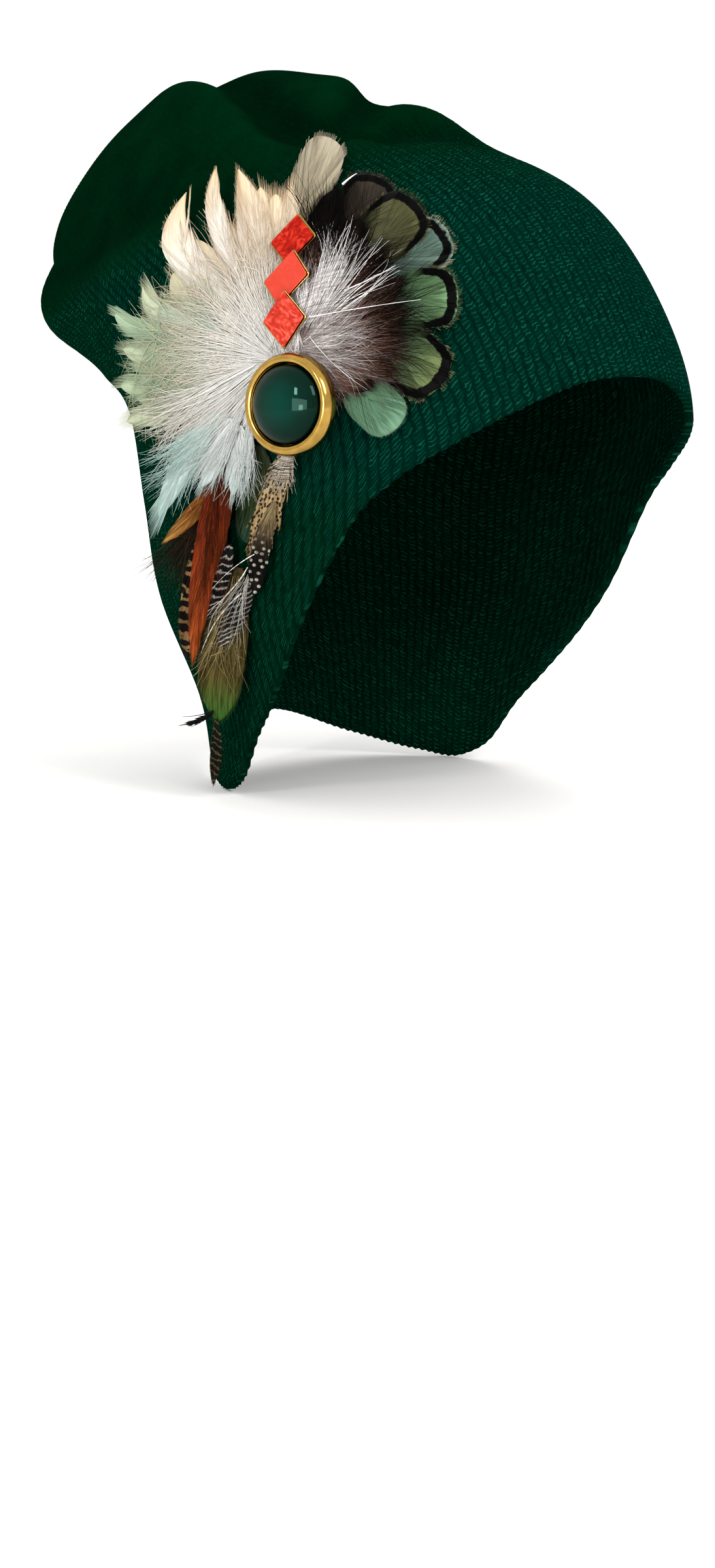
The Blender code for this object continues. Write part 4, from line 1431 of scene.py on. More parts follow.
    def add_barbs(self, dressing: Dressing, bed: CockadeBed, rng: np.random.Generator, side: float) -> None:
        """Add the barbs of one side, each from the quill to the outline.

        Args:
            dressing: The piece that takes them.
            bed: What they lie on.
            rng: The seeded source of their unevenness.
            side: 1 for the left, -1 for the right.
        """
        shares, border = self.outline(side)
        order = np.linspace(0.02, 1.0, self.barbs)
        for _ in range(self.splits):
            at, gap = rng.uniform(*self.SPLIT_AT), rng.uniform(*self.SPLIT_GAP) * self.fray * 2.0
            order = order + np.sign(order - at) * gap * np.exp(-np.abs(order - at) / self.SPLIT_FADE)
        order = np.clip(order + rng.normal(0.0, 0.15 / self.barbs, self.barbs), 0.0, 1.0)
        columns = [np.interp(order * (len(shares) - 1), np.arange(len(shares)), part) for part in (shares, *border.T)]
        end_share, ends = columns[0], np.column_stack(columns[1:])
        start_share = np.clip(end_share - self.sweep * self.half_width / self.length(), 0.0, 0.97)
        near_root = end_share * start_share.clip(0.02) / self.ROOT_ZONE
        start_share = np.where(end_share < self.ROOT_ZONE, near_root, start_share)
        starts = self.spine(np.minimum(start_share, end_share * 0.96))
        reach = np.linalg.norm(ends - starts, axis=1, keepdims=True)
        longer = rng.normal(0.0, self.RAGGED, (self.barbs, 1))
        ends = ends + (ends - starts) / np.maximum(reach, 0.1) * longer * self.fray
        bend = starts + (ends - starts) * self.BEND_AT - self.forward() * reach * self.BEND_BACK
        steps = np.linspace(0.0, 1.0, self.BARB_STEPS)[None, :]
        places = curve(starts[:, None], bend[:, None], ends[:, None], steps[..., None])
        rise = self.camber * (1.0 - steps**2) + rng.normal(0.0, self.UNEVEN, (self.barbs, 1))
        rise = rise + np.abs(rng.normal(0.0, self.LOOSE, (self.barbs, 1))) * self.fray * steps**2
        taper = (1.0 - 0.55 * steps**2) * np.ones((self.barbs, 1))
        taper[:, -1] *= 0.3
        vane, along = self.measures(places)
        points = bed.seat(places, self.lift + self.body * 0.5 + self.BARB_LIFT + rise)
        tone = rng.uniform(0.0, 1.0, self.barbs)
        dressing.add_strands(points, 0.5 * self.barb_width * taper, vane, along, self.tint, tone)


@dataclass(frozen=True)
class Down:
    """Loose down that springs from a root and spreads over a fan of bearings, 0 to the right and 90 up."""

    STEPS: ClassVar[int] = 7
    CLUMPING: ClassVar[float] = 0.45
    CLUMP_BEND: ClassVar[float] = 6.0
    SHORTEST: ClassVar[float] = 4.0

    root: Place
    bearings: Span
    start: Span
    reach: Span
    lift: Span
    count: int
    tint: Span = (0.0, 0.2)
    radius: float = 0.1
    arch: float = 1.2
    curl: float = 0.16
    wave: float = 0.5
    full_reach: float = 46.0
    clumps: int = 46

    def add_to(self, dressing: Dressing, bed: CockadeBed, rng: np.random.Generator) -> None:
        """Add the strands.

        Args:
            dressing: The piece that takes them.
            bed: What they lie over.
            rng: The seeded source of their unevenness.
        """
        steps = np.linspace(0.0, 1.0, self.STEPS)[None, :]
        each = (self.count, 1)
        spread = np.radians(rng.uniform(*self.bearings, each))
        middles = np.radians(rng.uniform(*self.bearings, self.clumps))
        nearest = np.argmin(np.abs(spread - middles[None, :]), axis=1)
        drawn = self.CLUMPING * (middles[nearest][:, None] - spread)
        bent = np.radians(rng.normal(0.0, self.CLUMP_BEND, self.clumps))[nearest][:, None]
        start = rng.uniform(*self.start, each)
        reach = np.maximum(rng.uniform(*self.reach, each), start + self.SHORTEST)
        run = start + (reach - start) * steps
        turn = rng.normal(0.0, self.curl, each) * steps**1.5
        sway = self.wave * np.sin(2 * np.pi * (steps * rng.uniform(0.6, 1.6, each) + rng.uniform(0, 1, each)))
        bearing = spread + drawn * steps + bent * steps**2 + turn + sway * steps / np.maximum(run, self.SHORTEST)
        places = np.stack([self.root[0] + run * np.cos(bearing), self.root[1] + run * np.sin(bearing)], axis=-1)
        lift = rng.uniform(*self.lift, each) + self.arch * np.sin(np.pi * (0.1 + 0.8 * steps))
        along = np.clip(run / self.full_reach, 0.0, 1.0)
        vane = np.stack([bearing * run, run, np.maximum(reach - run, 0.0)], axis=-1)
        thickness = self.radius * (1.0 - 0.75 * steps**2) * rng.uniform(0.7, 1.3, each)
        tint, tone = rng.uniform(*self.tint, each), rng.uniform(0, 1, self.count)
        dressing.add_strands(bed.seat(places, lift), thickness, vane, along, tint, tone)


@dataclass(frozen=True)
class Hair:
    """One long bare quill hair between two places."""

    STEPS: ClassVar[int] = 12
    FROM_EDGE: ClassVar[float] = 9.0
    ARCH: ClassVar[float] = 0.8

    start: Place
    end: Place
    bow: float
    lift: float
    radius: float = 0.16
    tint: float = 1.0

    def add_to(self, dressing: Dressing, bed: CockadeBed, rng: np.random.Generator) -> None:
        """Add the hair.

        Args:
            dressing: The piece that takes it.
            bed: What it lies over.
            rng: The seeded source of its tone.
        """
        share = np.linspace(0.0, 1.0, self.STEPS)
        way = np.array(self.end) - np.array(self.start)
        length = np.linalg.norm(way)
        side = np.array([-way[1], way[0]]) / length
        places = np.array(self.start) + way * share[:, None] + side * (self.bow * 4 * share * (1 - share))[:, None]
        vane = np.column_stack([0.0 * share, share * length, 0.0 * share + self.FROM_EDGE])
        points = bed.seat(places, self.lift + self.ARCH * np.sin(np.pi * share))
        thickness = self.radius * (1.0 - 0.7 * share)
        tone = rng.uniform(0.7, 1.0, 1)
        dressing.add_strands(points[None], thickness[None], vane[None], share[None], self.tint, tone)


@dataclass(frozen=True)
class FeatherPiece:
    """One feather or plume of the cockade, its finish, and the solid that it replaces."""

    node: str
    slot: str
    seed: int
    finish: FeatherFinish
    parts: tuple[Vane | Down | Hair, ...]

    def build(self, bed: CockadeBed, tree: Tree) -> None:
        """Build and dress the piece.

        Args:
            bed: What it lies on.
            tree: The geometry tree that gives the strands their bodies.
        """
        rng = np.random.default_rng(self.seed)
        dressing = Dressing()
        for part in self.parts:
            part.add_to(dressing, bed, rng)
        hand_over(dressing.piece(f"{self.node}_barbs", tree, self.finish.material()), self.node)


def lock(
    root: Place, bearing: float, reach: float, bow: float, half_width: float, lift: float, tint: float = 0.0,
    inner: float = 4.0, lead: float = 0.0, blunt: float = 0.35, barbs: int = 90, hook: float = 0.5,
    body_share: float = 0.84, body_reach: float = 0.92,
) -> Vane:
    """One ragged lock of a plume.

    Args:
        root: The plume's root.
        bearing: Bearing of the tip, 0 to the right and 90 up.
        reach: Reach of the tip.
        bow: How far it bows to its left.
        half_width: Half its width.
        lift: Its height off the bed.
        tint: How far it takes the tint.
        inner: Reach of its root.
        lead: How far the bearing of its root is ahead of its tip's.
        blunt: How blunt its tip is.
        barbs: How many barbs on a side.
        hook: Where along it the bow is greatest.
        body_share: Width of its solid part.
        body_reach: Length of its solid part.

    Returns:
        The lock.
    """
    start, end = math.radians(bearing + lead), math.radians(bearing)
    return Vane(
        (root[0] + inner * math.cos(start), root[1] + inner * math.sin(start)),
        (root[0] + reach * math.cos(end), root[1] + reach * math.sin(end)), bow, half_width, lift, blunt,
        barbs=barbs, barb_width=0.32, sweep=3.0, splits=4, fray=1.1, camber=1.0, tint=tint, body_share=body_share,
        body_reach=body_reach, hook=hook,
    )


WHITE_ROOT = (-3.4, 15.5)
BROWN_ROOT = (1.8, 16.5)

white_lock, white_down = partial(lock, WHITE_ROOT), partial(Down, WHITE_ROOT)
brown_lock, brown_down = partial(lock, BROWN_ROOT), partial(Down, BROWN_ROOT)
# A broad vane, a rounded feather of the fan's edge, a long one with barbs almost along its quill, and a ragged tuft.
broad = partial(Vane, barb_width=0.36, sweep=2.8)
rounded = partial(Vane, barbs=92, barb_width=0.36, sweep=1.5, camber=0.5)
hackle = partial(
    Vane, barbs=110, barb_width=0.3, sweep=4.2, splits=3, fray=0.5, camber=0.7, body_share=0.95, body_reach=0.97
)
tuft = partial(
    Vane, blunt=0.3, barbs=90, barb_width=0.28, sweep=4.0, splits=7, fray=1.7, body_share=0.7, body_reach=0.85
)

WHITE_DOWN = FeatherFinish(
    "bleached_goose_down", "fdfcfb", "f8f1e8", "ecd4ae", "a6c4a4", roughness=0.8, spread=0.14, glow=0.3
)
WHITE_TUFT = FeatherFinish(
    "white_mint_goose_down", "fcfbf9", "f3f5f3", "d6e6e4", "b3dcd2", roughness=0.8, spread=0.2, glow=0.3
)
CREAM = FeatherFinish("cream_body_feather", "968b70", "a39982", "ada28c", "fffaf0", spread=0.2, glow=0.15)
BROWN_DOWN = FeatherFinish(
    "natural_marabou_down", "94807c", "6e4a3b", "1a0e08", "f4f0ee", mark="050403", roughness=0.75, spread=0.45,
    glow=0.08, stops=(0.12, 0.5, 0.82),
)

PLUMES = (
    FeatherPiece("white_plume", "cream_feather", 5, WHITE_DOWN, (
        broad((-3.0, 20.0), (-4.6, 66.5), 0.8, 11.5, 1.5, 1.0, barbs=110, splits=5, fray=1.2, camber=1.2,
              body_share=0.9, body_reach=0.92),
        white_lock(84.5, 55.6, 0.6, 5.6, 1.9, blunt=0.3, barbs=76, body_share=0.88),
        white_lock(89.8, 52.6, 0.4, 6.0, 2.6, blunt=0.55, barbs=76, body_share=0.88),
        white_lock(95.6, 55.2, -0.8, 6.0, 2.3, barbs=76, body_share=0.88, hook=0.6),
        white_lock(111.0, 48.0, 2.0, 6.5, 1.5, 0.02, barbs=64),
        white_lock(124.0, 46.0, 3.0, 7.0, 1.6, 0.1, barbs=64),
        white_lock(141.0, 43.0, 3.5, 7.0, 1.6, 0.35, barbs=64, blunt=0.7),
        white_lock(157.0, 44.0, 3.0, 6.5, 1.6, 0.6, barbs=64, blunt=0.7),
        white_lock(170.5, 45.0, 2.5, 6.5, 1.6, 0.7, barbs=64, blunt=0.7),
        white_lock(184.0, 47.0, 2.0, 6.5, 1.6, 0.7, barbs=72, blunt=0.6),
        white_lock(198.0, 48.0, 1.5, 6.5, 1.6, 0.65, barbs=72, blunt=0.6),
        white_lock(101.8, 59.2, -1.6, 6.2, 2.8, blunt=0.12, hook=0.7, body_share=0.92, body_reach=0.97),
        white_lock(164.4, 53.5, 4.0, 4.0, 2.4, 0.9, 18.0, hook=0.66, blunt=0.6),
        white_lock(177.5, 49.5, 3.0, 5.0, 2.8, 0.7, 14.0, blunt=0.5),
        white_lock(191.0, 51.5, 3.0, 5.4, 2.2, 0.75, 14.0, blunt=0.5),
        white_lock(117.0, 57.5, 10.0, 5.8, 2.6, 0.04, 14.0, 18.0, 0.2, hook=0.66, body_share=0.92, body_reach=0.97),
        white_lock(107.6, 60.5, 3.6, 3.3, 3.3, 0.02, 22.0, 8.0, 0.15, 80, 0.6, body_share=0.92, body_reach=0.97),
        white_lock(148.5, 47.5, 6.5, 4.4, 3.2, 0.6, 18.0, 14.0, 0.1, hook=0.7),
        white_lock(204.0, 53.5, 2.0, 5.6, 2.8, 0.6, 10.0, blunt=0.4),
        Down((-2.0, 13.0), (96.0, 226.0), (0.5, 18.0), (14.0, 42.0), (3.2, 4.2), 700, (0.0, 0.08), radius=0.13),
        white_down((140.0, 216.0), (14.0, 30.0), (28.0, 45.0), (3.0, 4.2), 400, (0.1, 0.6), radius=0.11, curl=0.25),
        white_down((166.0, 214.0), (24.0, 36.0), (38.0, 49.0), (3.0, 4.2), 120, (0.4, 1.0), radius=0.12, curl=0.3),
        white_down((82.0, 122.0), (8.0, 30.0), (28.0, 50.0), (3.2, 4.2), 260, (0.0, 0.05), curl=0.08),
        white_down((204.0, 243.0), (6.0, 26.0), (32.0, 50.0), (4.0, 6.2), 420, (0.0, 0.15), radius=0.13, curl=0.1,
                   full_reach=86.0),
        Down((-3.0, 25.0), (262.0, 300.0), (0.0, 3.0), (8.0, 14.0), (3.4, 4.2), 90, (0.0, 0.1), radius=0.2, curl=0.06),
        Down((-8.6, 3.0), (234.0, 262.0), (0.0, 3.0), (10.0, 17.0), (4.8, 5.8), 80, (0.0, 0.1), radius=0.2, curl=0.05,
             full_reach=60.0),
    )),
    FeatherPiece("brown_plume", "brown_fur", 11, BROWN_DOWN, (
        brown_lock(68.0, 44.0, 0.0, 6.0, 2.4, barbs=70),
        *(
            brown_lock(bearing, reach, 0.0, 6.5, 2.4, barbs=70)
            for bearing, reach in ((55.0, 41.0), (40.0, 39.0), (26.0, 37.0), (12.0, 34.0), (-3.0, 32.0), (-18.0, 29.0))
        ),
        brown_lock(-34.0, 22.0, 0.0, 6.0, 2.4, barbs=60),
        brown_lock(75.0, 53.5, 0.8, 5.2, 3.2, -1.0, 22.0),
        brown_lock(62.0, 47.5, 0.4, 5.2, 3.4, -0.7, 20.0, barbs=80),
        brown_lock(48.0, 44.5, -0.5, 5.2, 3.2, barbs=80),
        brown_lock(33.0, 43.5, -0.8, 5.2, 3.4, barbs=80),
        brown_lock(19.0, 39.5, -1.0, 5.2, 3.2, barbs=80),
        brown_lock(5.0, 36.0, -1.2, 5.2, 3.4, barbs=80),
        brown_lock(-10.0, 34.0, -1.4, 5.2, 3.2, barbs=80),
        brown_lock(-24.0, 29.0, -1.2, 5.0, 3.4, barbs=80),
        brown_lock(-42.0, 23.0, -1.0, 4.6, 3.0, barbs=60),
        brown_down((-22.0, 84.0), (3.0, 20.0), (18.0, 42.0), (3.4, 4.2), 520, (0.0, 0.25), radius=0.09),
        brown_down((-50.0, -22.0), (3.0, 14.0), (12.0, 27.0), (3.4, 4.2), 130, (0.0, 0.25), radius=0.09),
        brown_down((50.0, 72.0), (8.0, 20.0), (22.0, 42.0), (4.0, 4.8), 210, (0.65, 1.0), radius=0.13, curl=0.05,
                   clumps=9),
        brown_down((66.0, 86.0), (6.0, 14.0), (16.0, 29.0), (4.0, 4.6), 90, (0.65, 1.0), radius=0.12, curl=0.05),
        brown_down((12.0, 50.0), (4.0, 14.0), (14.0, 27.0), (4.0, 4.8), 130, (0.3, 0.9), curl=0.08, clumps=13),
        brown_down((34.0, 70.0), (12.0, 22.0), (34.0, 46.0), (4.6, 5.2), 34, (0.9, 1.0), radius=0.16, curl=0.03,
                   clumps=8),
        brown_down((38.0, 62.0), (20.0, 28.0), (36.0, 46.0), (3.8, 4.4), 120, (-0.5, 0.0), curl=0.08),
        brown_down((-24.0, 42.0), (3.0, 9.0), (11.0, 27.0), (4.0, 4.8), 330, (0.15, 0.8), curl=0.2),
        brown_down((-18.0, 82.0), (20.0, 30.0), (32.0, 44.0), (3.6, 4.4), 340, (-0.8, -0.1), curl=0.1),
        brown_down((62.0, 85.0), (22.0, 36.0), (44.0, 56.0), (3.2, 4.2), 130, (-1.0, -0.8), radius=0.13, curl=0.05),
        brown_down((8.0, 64.0), (20.0, 26.0), (42.0, 54.0), (4.0, 4.6), 60, (-1.0, -0.9), radius=0.12, curl=0.05,
                   clumps=13),
        Down((3.4, 25.0), (240.0, 276.0), (0.0, 3.0), (8.0, 15.0), (3.2, 4.2), 90, (0.4, 1.0), radius=0.2, curl=0.06),
        Hair((7.0, 26.6), (41.0, 32.0), 0.3, 5.6, 0.24),
        Hair((17.6, 34.8), (33.2, 42.4), -0.3, 5.6, 0.26),
        Hair((6.6, 21.0), (24.6, 4.4), -1.2, 5.4, 0.15, 0.8),
        Hair((17.0, 67.2), (21.4, 70.6), 0.2, 4.6, 0.5),
    )),
    FeatherPiece("cream_top_feather", "cream_feather", 21, CREAM, (
        broad((2.6, 57.0), (13.8, 82.8), -0.4, 7.0, 1.0, 1.0, barbs=120, splits=4, fray=0.7, camber=0.7),
    )),
)


class Eyed(NamedTuple):
    """A pheasant's eyed feather: a soft eye, a black band round its outer half and a speckled pale fringe."""

    name: str
    root_colour: str
    middle_colour: str
    eye_colour: str
    fringe: str
    band: Span
    root: Place
    tip: Place
    half_width: float
    lift: float

    def piece(self, number: int) -> FeatherPiece:
        """The feather's piece.

        Args:
            number: Its number round the fan's edge, from 1 at the top.

        Returns:
            The piece.
        """
        finish = FeatherFinish(
            f"eyed_feather_{self.name}", self.root_colour, self.middle_colour, self.eye_colour, "20170f",
            mark="020101", fringe=self.fringe, pattern=Pattern.EYED, band_mm=self.band, roughness=0.55, spread=0.28,
        )
        vane = rounded(self.root, self.tip, 0.0, self.half_width, self.lift, 0.9, splits=3, fray=0.9)
        return FeatherPiece(f"almond_feather_{number}", "almond_feather", 21 + number, finish, (vane,))


EYED = (
    Eyed("umber", "1c1511", "2c251f", "3a342c", "8c7551", (1.2, 4.4), (21.5, 48.0), (26.5, 71.5), 8.6, 1.0),
    Eyed("bronze", "2e2e20", "45452e", "525233", "96805a", (1.2, 4.8), (21.0, 44.0), (41.0, 62.5), 9.6, 2.2),
    Eyed("sage", "37453e", "4d6056", "5f776a", "c4bb9c", (2.2, 6.2), (29.0, 40.0), (50.4, 53.6), 8.8, 1.0),
    Eyed("green", "2f4230", "4e6a49", "6f9166", "a08c60", (1.4, 6.2), (30.5, 32.0), (53.6, 32.8), 9.8, 2.2),
    Eyed("olive", "36482f", "526745", "6b7446", "b4a67c", (1.3, 6.0), (27.0, 22.5), (48.6, 5.2), 10.4, 1.0),
)

LOWER = (
    FeatherPiece(
        "almond_feather_6", "almond_feather", 27,
        FeatherFinish("mint_body_feather", "4d6c54", "5a7e62", "668b70", "a9bfa4", spread=0.25),
        (rounded((17.5, 8.5), (34.4, -7.4), 0.0, 7.8, 2.2, 0.9, splits=1, fray=0.35, body_share=0.97,
                 body_reach=0.98),),
    ),
    FeatherPiece(
        "bronze_feather", "bronze_feather", 31,
        FeatherFinish("bronze_green_hackle", "28351f", "303c1d", "1a3324", "8a8a4a", roughness=0.42, spread=0.6),
        (hackle((-8.5, -12.5), (-12.5, -43.5), 1.5, 5.6, 1.0, 0.55, barbs=100),),
    ),
    FeatherPiece(
        "speckled_feather", "speckled_feather", 32,
        FeatherFinish("speckled_cream_feather", "b8a684", "b3986c", "9c8058", "f5eee0", mark="33251a",
                      pattern=Pattern.SPECKLED, pitch_mm=1.5, dot_size=0.28, squeeze=1.6, spread=0.4, glow=0.15),
        (
            Vane((1.0, -13.0), (-10.5, -51.0), -0.8, 4.8, 2.2, 0.4, barbs=110, barb_width=0.3, sweep=3.0, splits=6,
                 fray=1.3, camber=0.7, body_share=0.8),
            Down((2.2, -10.0), (238.0, 268.0), (1.0, 8.0), (8.0, 19.0), (3.2, 3.8), 130, (0.5, 0.9), radius=0.15,
                 curl=0.05, wave=0.15),
        ),
    ),
    FeatherPiece(
        "guinea_dot_feather", "guinea_feather", 33,
        FeatherFinish("guinea_fowl_dots", "8f7c58", "3a2f22", "0f0d0c", "eeeae0", mark="b4ada0",
                      pattern=Pattern.DOTTED, pitch_mm=2.0, dot_size=0.18, squeeze=0.8, spread=0.6,
                      stops=(0.15, 0.42, 0.62)),
        (hackle((-3.8, -30.0), (-10.0, -59.0), -1.0, 2.9, 3.4, 0.5, barbs=80),),
    ),
    FeatherPiece(
        "rust_hackle", "rust_hackle", 34,
        FeatherFinish("rust_cock_hackle", "40180a", "8a3311", "96461b", "1c0b06", roughness=0.5, spread=0.55),
        (
            hackle((-15.5, -11.0), (-24.4, -58.0), -0.6, 3.4, 3.9, 0.2, barbs=90, tint=0.55),
            hackle((-19.5, -12.0), (-29.0, -81.0), -0.8, 3.7, 4.6, 0.15, barbs=130),
            Down((-19.0, -8.0), (258.0, 266.0), (6.0, 40.0), (30.0, 66.0), (5.0, 5.6), 46, (0.5, 1.0), curl=0.02,
                 clumps=9),
        ),
    ),
    FeatherPiece(
        "golden_hackle", "golden_hackle", 35,
        FeatherFinish("golden_cock_hackle", "5c3210", "8a521f", "b08040", "0e0a08", roughness=0.42, spread=0.6),
        (
            hackle((-19.0, -20.0), (-38.4, -43.0), 1.2, 2.5, 3.4, 0.15, barbs=90),
            Down((-13.0, -10.0), (236.0, 258.0), (12.0, 30.0), (34.0, 54.0), (1.0, 1.8), 260, (0.92, 1.0),
                 radius=0.22, curl=0.05),
        ),
    ),
    FeatherPiece(
        "barred_feather", "barred_feather", 36,
        FeatherFinish("barred_partridge_feather", "8a6c48", "93744a", "7a5a38", "120c09", mark="0c0806",
                      pattern=Pattern.BARRED, pitch_mm=3.6, bar_share=-0.25),
        (hackle((-24.0, -36.0), (-30.6, -79.0), -1.0, 4.0, 2.2, 0.35),),
    ),
    FeatherPiece(
        "guinea_bar_feather", "guinea_feather", 37,
        FeatherFinish("guinea_fowl_bars", "141315", "100f10", "0d0d0e", "eeeae0", mark="a19c92",
                      pattern=Pattern.BARRED, pitch_mm=2.6, bar_share=0.7, slant=0.5),
        (hackle((-17.2, -43.0), (-23.8, -64.0), 0.0, 3.0, 3.4, 0.4, barbs=80),),
    ),
    FeatherPiece(
        "white_barred_feather", "guinea_feather", 38,
        FeatherFinish("pale_barred_feather", "24211f", "1c1a19", "2a2724", "dcd8cf", mark="979389",
                      pattern=Pattern.BARRED, pitch_mm=2.0, bar_share=0.6, slant=1.1, spread=0.45),
        (
            hackle((-11.0, -53.0), (-21.0, -75.0), 0.5, 3.6, 2.2, 0.4, barbs=80),
            Hair((-12.0, -50.0), (-25.4, -64.2), 1.2, 4.6, 0.22),
            Hair((-14.0, -58.0), (-26.2, -76.2), -1.6, 4.4, 0.26),
            Hair((-10.0, -46.0), (-24.0, -58.0), -1.0, 4.8, 0.18),
            Down((-11.0, -50.0), (222.0, 262.0), (2.0, 10.0), (14.0, 27.0), (3.6, 4.4), 22, (0.7, 1.0), curl=0.1),
        ),
    ),
    FeatherPiece(
        "olive_feather", "olive_feather", 39,
        FeatherFinish("olive_pheasant_feather", "4c3f22", "544822", "35591f", "b5a271", roughness=0.55, spread=0.6,
                      stops=(0.05, 0.68, 0.92)),
        (
            hackle((-15.0, -50.0), (-21.0, -98.5), -1.5, 7.4, 1.0, 0.4, barbs=150),
            Down((-15.0, -46.0), (252.0, 272.0), (6.0, 30.0), (22.0, 44.0), (2.2, 2.8), 70, (0.5, 1.0), arch=0.4,
                 curl=0.03),
        ),
    ),
    FeatherPiece(
        "hem_feather", "barred_feather", 40,
        FeatherFinish("dark_cream_barred_feather", "14180f", "12150f", "20180f", "d9c79a", mark="5c5339",
                      pattern=Pattern.BARRED, pitch_mm=2.2, bar_share=0.7, spread=0.4),
        (hackle((-21.6, -96.5), (-22.6, -117.2), 0.4, 1.8, 2.2, 0.2, barbs=60),),
    ),
    FeatherPiece(
        "black_wisp", "black_feather", 41,
        FeatherFinish("black_barb_wisp", "0d0d0f", "0b0b0d", "131316", "2a2a2e"),
        (
            Vane((-22.6, -94.4), (-32.4, -98.3), 0.6, 0.9, 2.0, 0.0, barbs=36, fray=1.4, sweep=2.5, body_share=0.7),
            Hair((-22.4, -93.8), (-31.8, -95.6), 0.5, 2.2, 0.22, 0.0),
            Hair((-22.8, -94.8), (-29.4, -98.8), 0.4, 2.2, 0.2, 0.0),
        ),
    ),
    FeatherPiece("white_lower_feather_1", "cream_feather", 42, WHITE_TUFT, (
        tuft((-20.5, -3.0), (-41.5, -40.5), -1.9, 4.6, 5.6, tint=0.5),
        Down((-12.0, 6.0), (218.0, 240.0), (10.0, 26.0), (28.0, 47.0), (5.6, 6.4), 200, (0.2, 0.8), curl=0.06),
    )),
    FeatherPiece("white_lower_feather_2", "cream_feather", 43, WHITE_TUFT, (
        tuft((-17.0, -4.5), (-27.2, -29.0), 0.0, 4.2, 6.6, tint=0.05),
        Down((-11.0, 4.0), (236.0, 251.0), (6.0, 20.0), (22.0, 36.0), (6.6, 7.4), 150, curl=0.05),
    )),
    FeatherPiece("white_lower_feather_3", "cream_feather", 44, WHITE_TUFT, (
        tuft((-14.0, -6.5), (-17.0, -32.0), 0.0, 3.2, 5.8, tint=0.15),
        Down((-10.5, 0.0), (256.0, 271.0), (4.0, 16.0), (18.0, 33.0), (6.0, 6.8), 120, (0.0, 0.3), curl=0.05),
    )),
)

FEATHERS = PLUMES + tuple(eyed.piece(number) for number, eyed in enumerate(EYED, 1)) + LOWER


# ---------------------------------------------------------------------------------------------------------------
# Lozenges and brooch


@dataclass(frozen=True)
class Lozenge:
    """A gold plate with a coral tile on it, by its corners on the layout and the lifts of its top and foot."""

    name: str
    top: Place
    right: Place
    left: Place
    top_lift: float
    foot_lift: float
    coral: MarbledCoral
    plate: float = 0.9
    tile: float = 1.1
    gap: float = 0.3
    inset: float = 0.55
    shift: Place = (-0.3, 0.12)
    corner_round: float = 0.9
    corner_steps: int = 6
    bevel: float = 0.28
    sharp: float = 55.0

    def loop(self, corners: np.ndarray) -> np.ndarray:
        """A four-cornered outline with rounded corners.

        Args:
            corners: The corners, one row each.

        Returns:
            The outline's places.
        """
        t = np.linspace(0.0, 1.0, self.corner_steps)[:, None]
        places = []
        for number, corner in enumerate(corners):
            beside = [corners[other] - corner for other in (number - 1, (number + 1) % 4)]
            start, end = (corner + way / np.linalg.norm(way) * self.corner_round for way in beside)
            places.append(curve(start, corner, end, t))
        return np.concatenate(places)

    def slab(self, name: str, bed: CockadeBed, inset: float, shift: Place, low: float, high: float) -> Piece:
        """One flat bevelled lozenge between two heights.

        Args:
            name: The piece's name.
            bed: What it lies over.
            inset: How far its corners stand in.
            shift: How far it lies to one side.
            low: Height of its underside.
            high: Height of its face.

        Returns:
            The piece, not yet dressed.
        """
        top, right, left = (np.array(corner) for corner in (self.top, self.right, self.left))
        corners = np.array([top, right, right + left - top, left])
        middle = corners.mean(axis=0)
        side_lift = (self.top_lift + self.foot_lift) / 2
        lifts = np.array([self.top_lift, side_lift, self.foot_lift, side_lift])
        reach = np.linalg.norm(corners - middle, axis=1, keepdims=True)
        wanted = middle + (corners - middle) * (1.0 - inset / reach) + np.array(shift)
        centre = wanted.mean(axis=0)
        span = np.linalg.norm(wanted - centre, axis=1, keepdims=True)
        axes = np.column_stack([top - middle, right - middle])
        bevel, rings = self.bevel, []
        for inward, height in (
            (bevel * 1.6, low), (0.0, low + bevel * 0.6), (0.0, high - bevel), (bevel * 0.35, high - bevel * 0.3),
            (bevel, high), (bevel * 1.7, high),
        ):
            outline = self.loop(centre + (wanted - centre) * (1.0 - inward / span))
            shares = np.linalg.solve(axes, (outline - middle).T).T
            at = bed.seat(corners, lifts + height)
            down, across = (at[0] - at[2]) / 2, (at[1] - at[3]) / 2
            rings.append(at.mean(axis=0) + shares[:, :1] * down + shares[:, 1:] * across)
        ends = [ring.mean(axis=0) for ring in (rings[0], rings[-1])]
        return closed_rings(name, rings, ends, self.sharp, flip=True)

    def build(self, bed: CockadeBed, gold: Material) -> None:
        """Build and dress the plate and the tile.

        Args:
            bed: What they lie over.
            gold: The plate's material.
        """
        plate = self.slab(f"gold_plate_{self.name}", bed, 0.0, (0.0, 0.0), 0.0, self.plate)
        plate.data.materials.append(gold)
        hand_over(plate, f"lozenge_plate_{self.name}")
        low = self.plate + self.gap
        tile = self.slab(f"coral_tile_{self.name}", bed, self.inset, self.shift, low, low + self.tile)
        tile.data.materials.append(self.coral.material())
        hand_over(tile, f"lozenge_tile_{self.name}")


LOZENGES = (
    Lozenge("upper", (3.6, 58.6), (9.1, 51.6), (-5.3, 49.2), 5.6, 4.6,
            MarbledCoral("marbled_coral_resin", "9c1204", "b5301c", "7a0902", gloss=0.08)),
    Lozenge("middle", (2.2, 47.6), (7.1, 39.8), (-7.3, 37.2), 8.4, 5.2,
            MarbledCoral("plain_coral_resin", "b8301b", "bd3a26", "b02814", strength=0.45)),
    Lozenge("lower", (-0.8, 35.2), (6.1, 26.8), (-7.6, 24.9), 9.0, 5.6,
            MarbledCoral("swirled_coral_resin", "b62c1a", "cf5643", "9a190c", swirl_mm=4.0, gloss=0.16)),
)


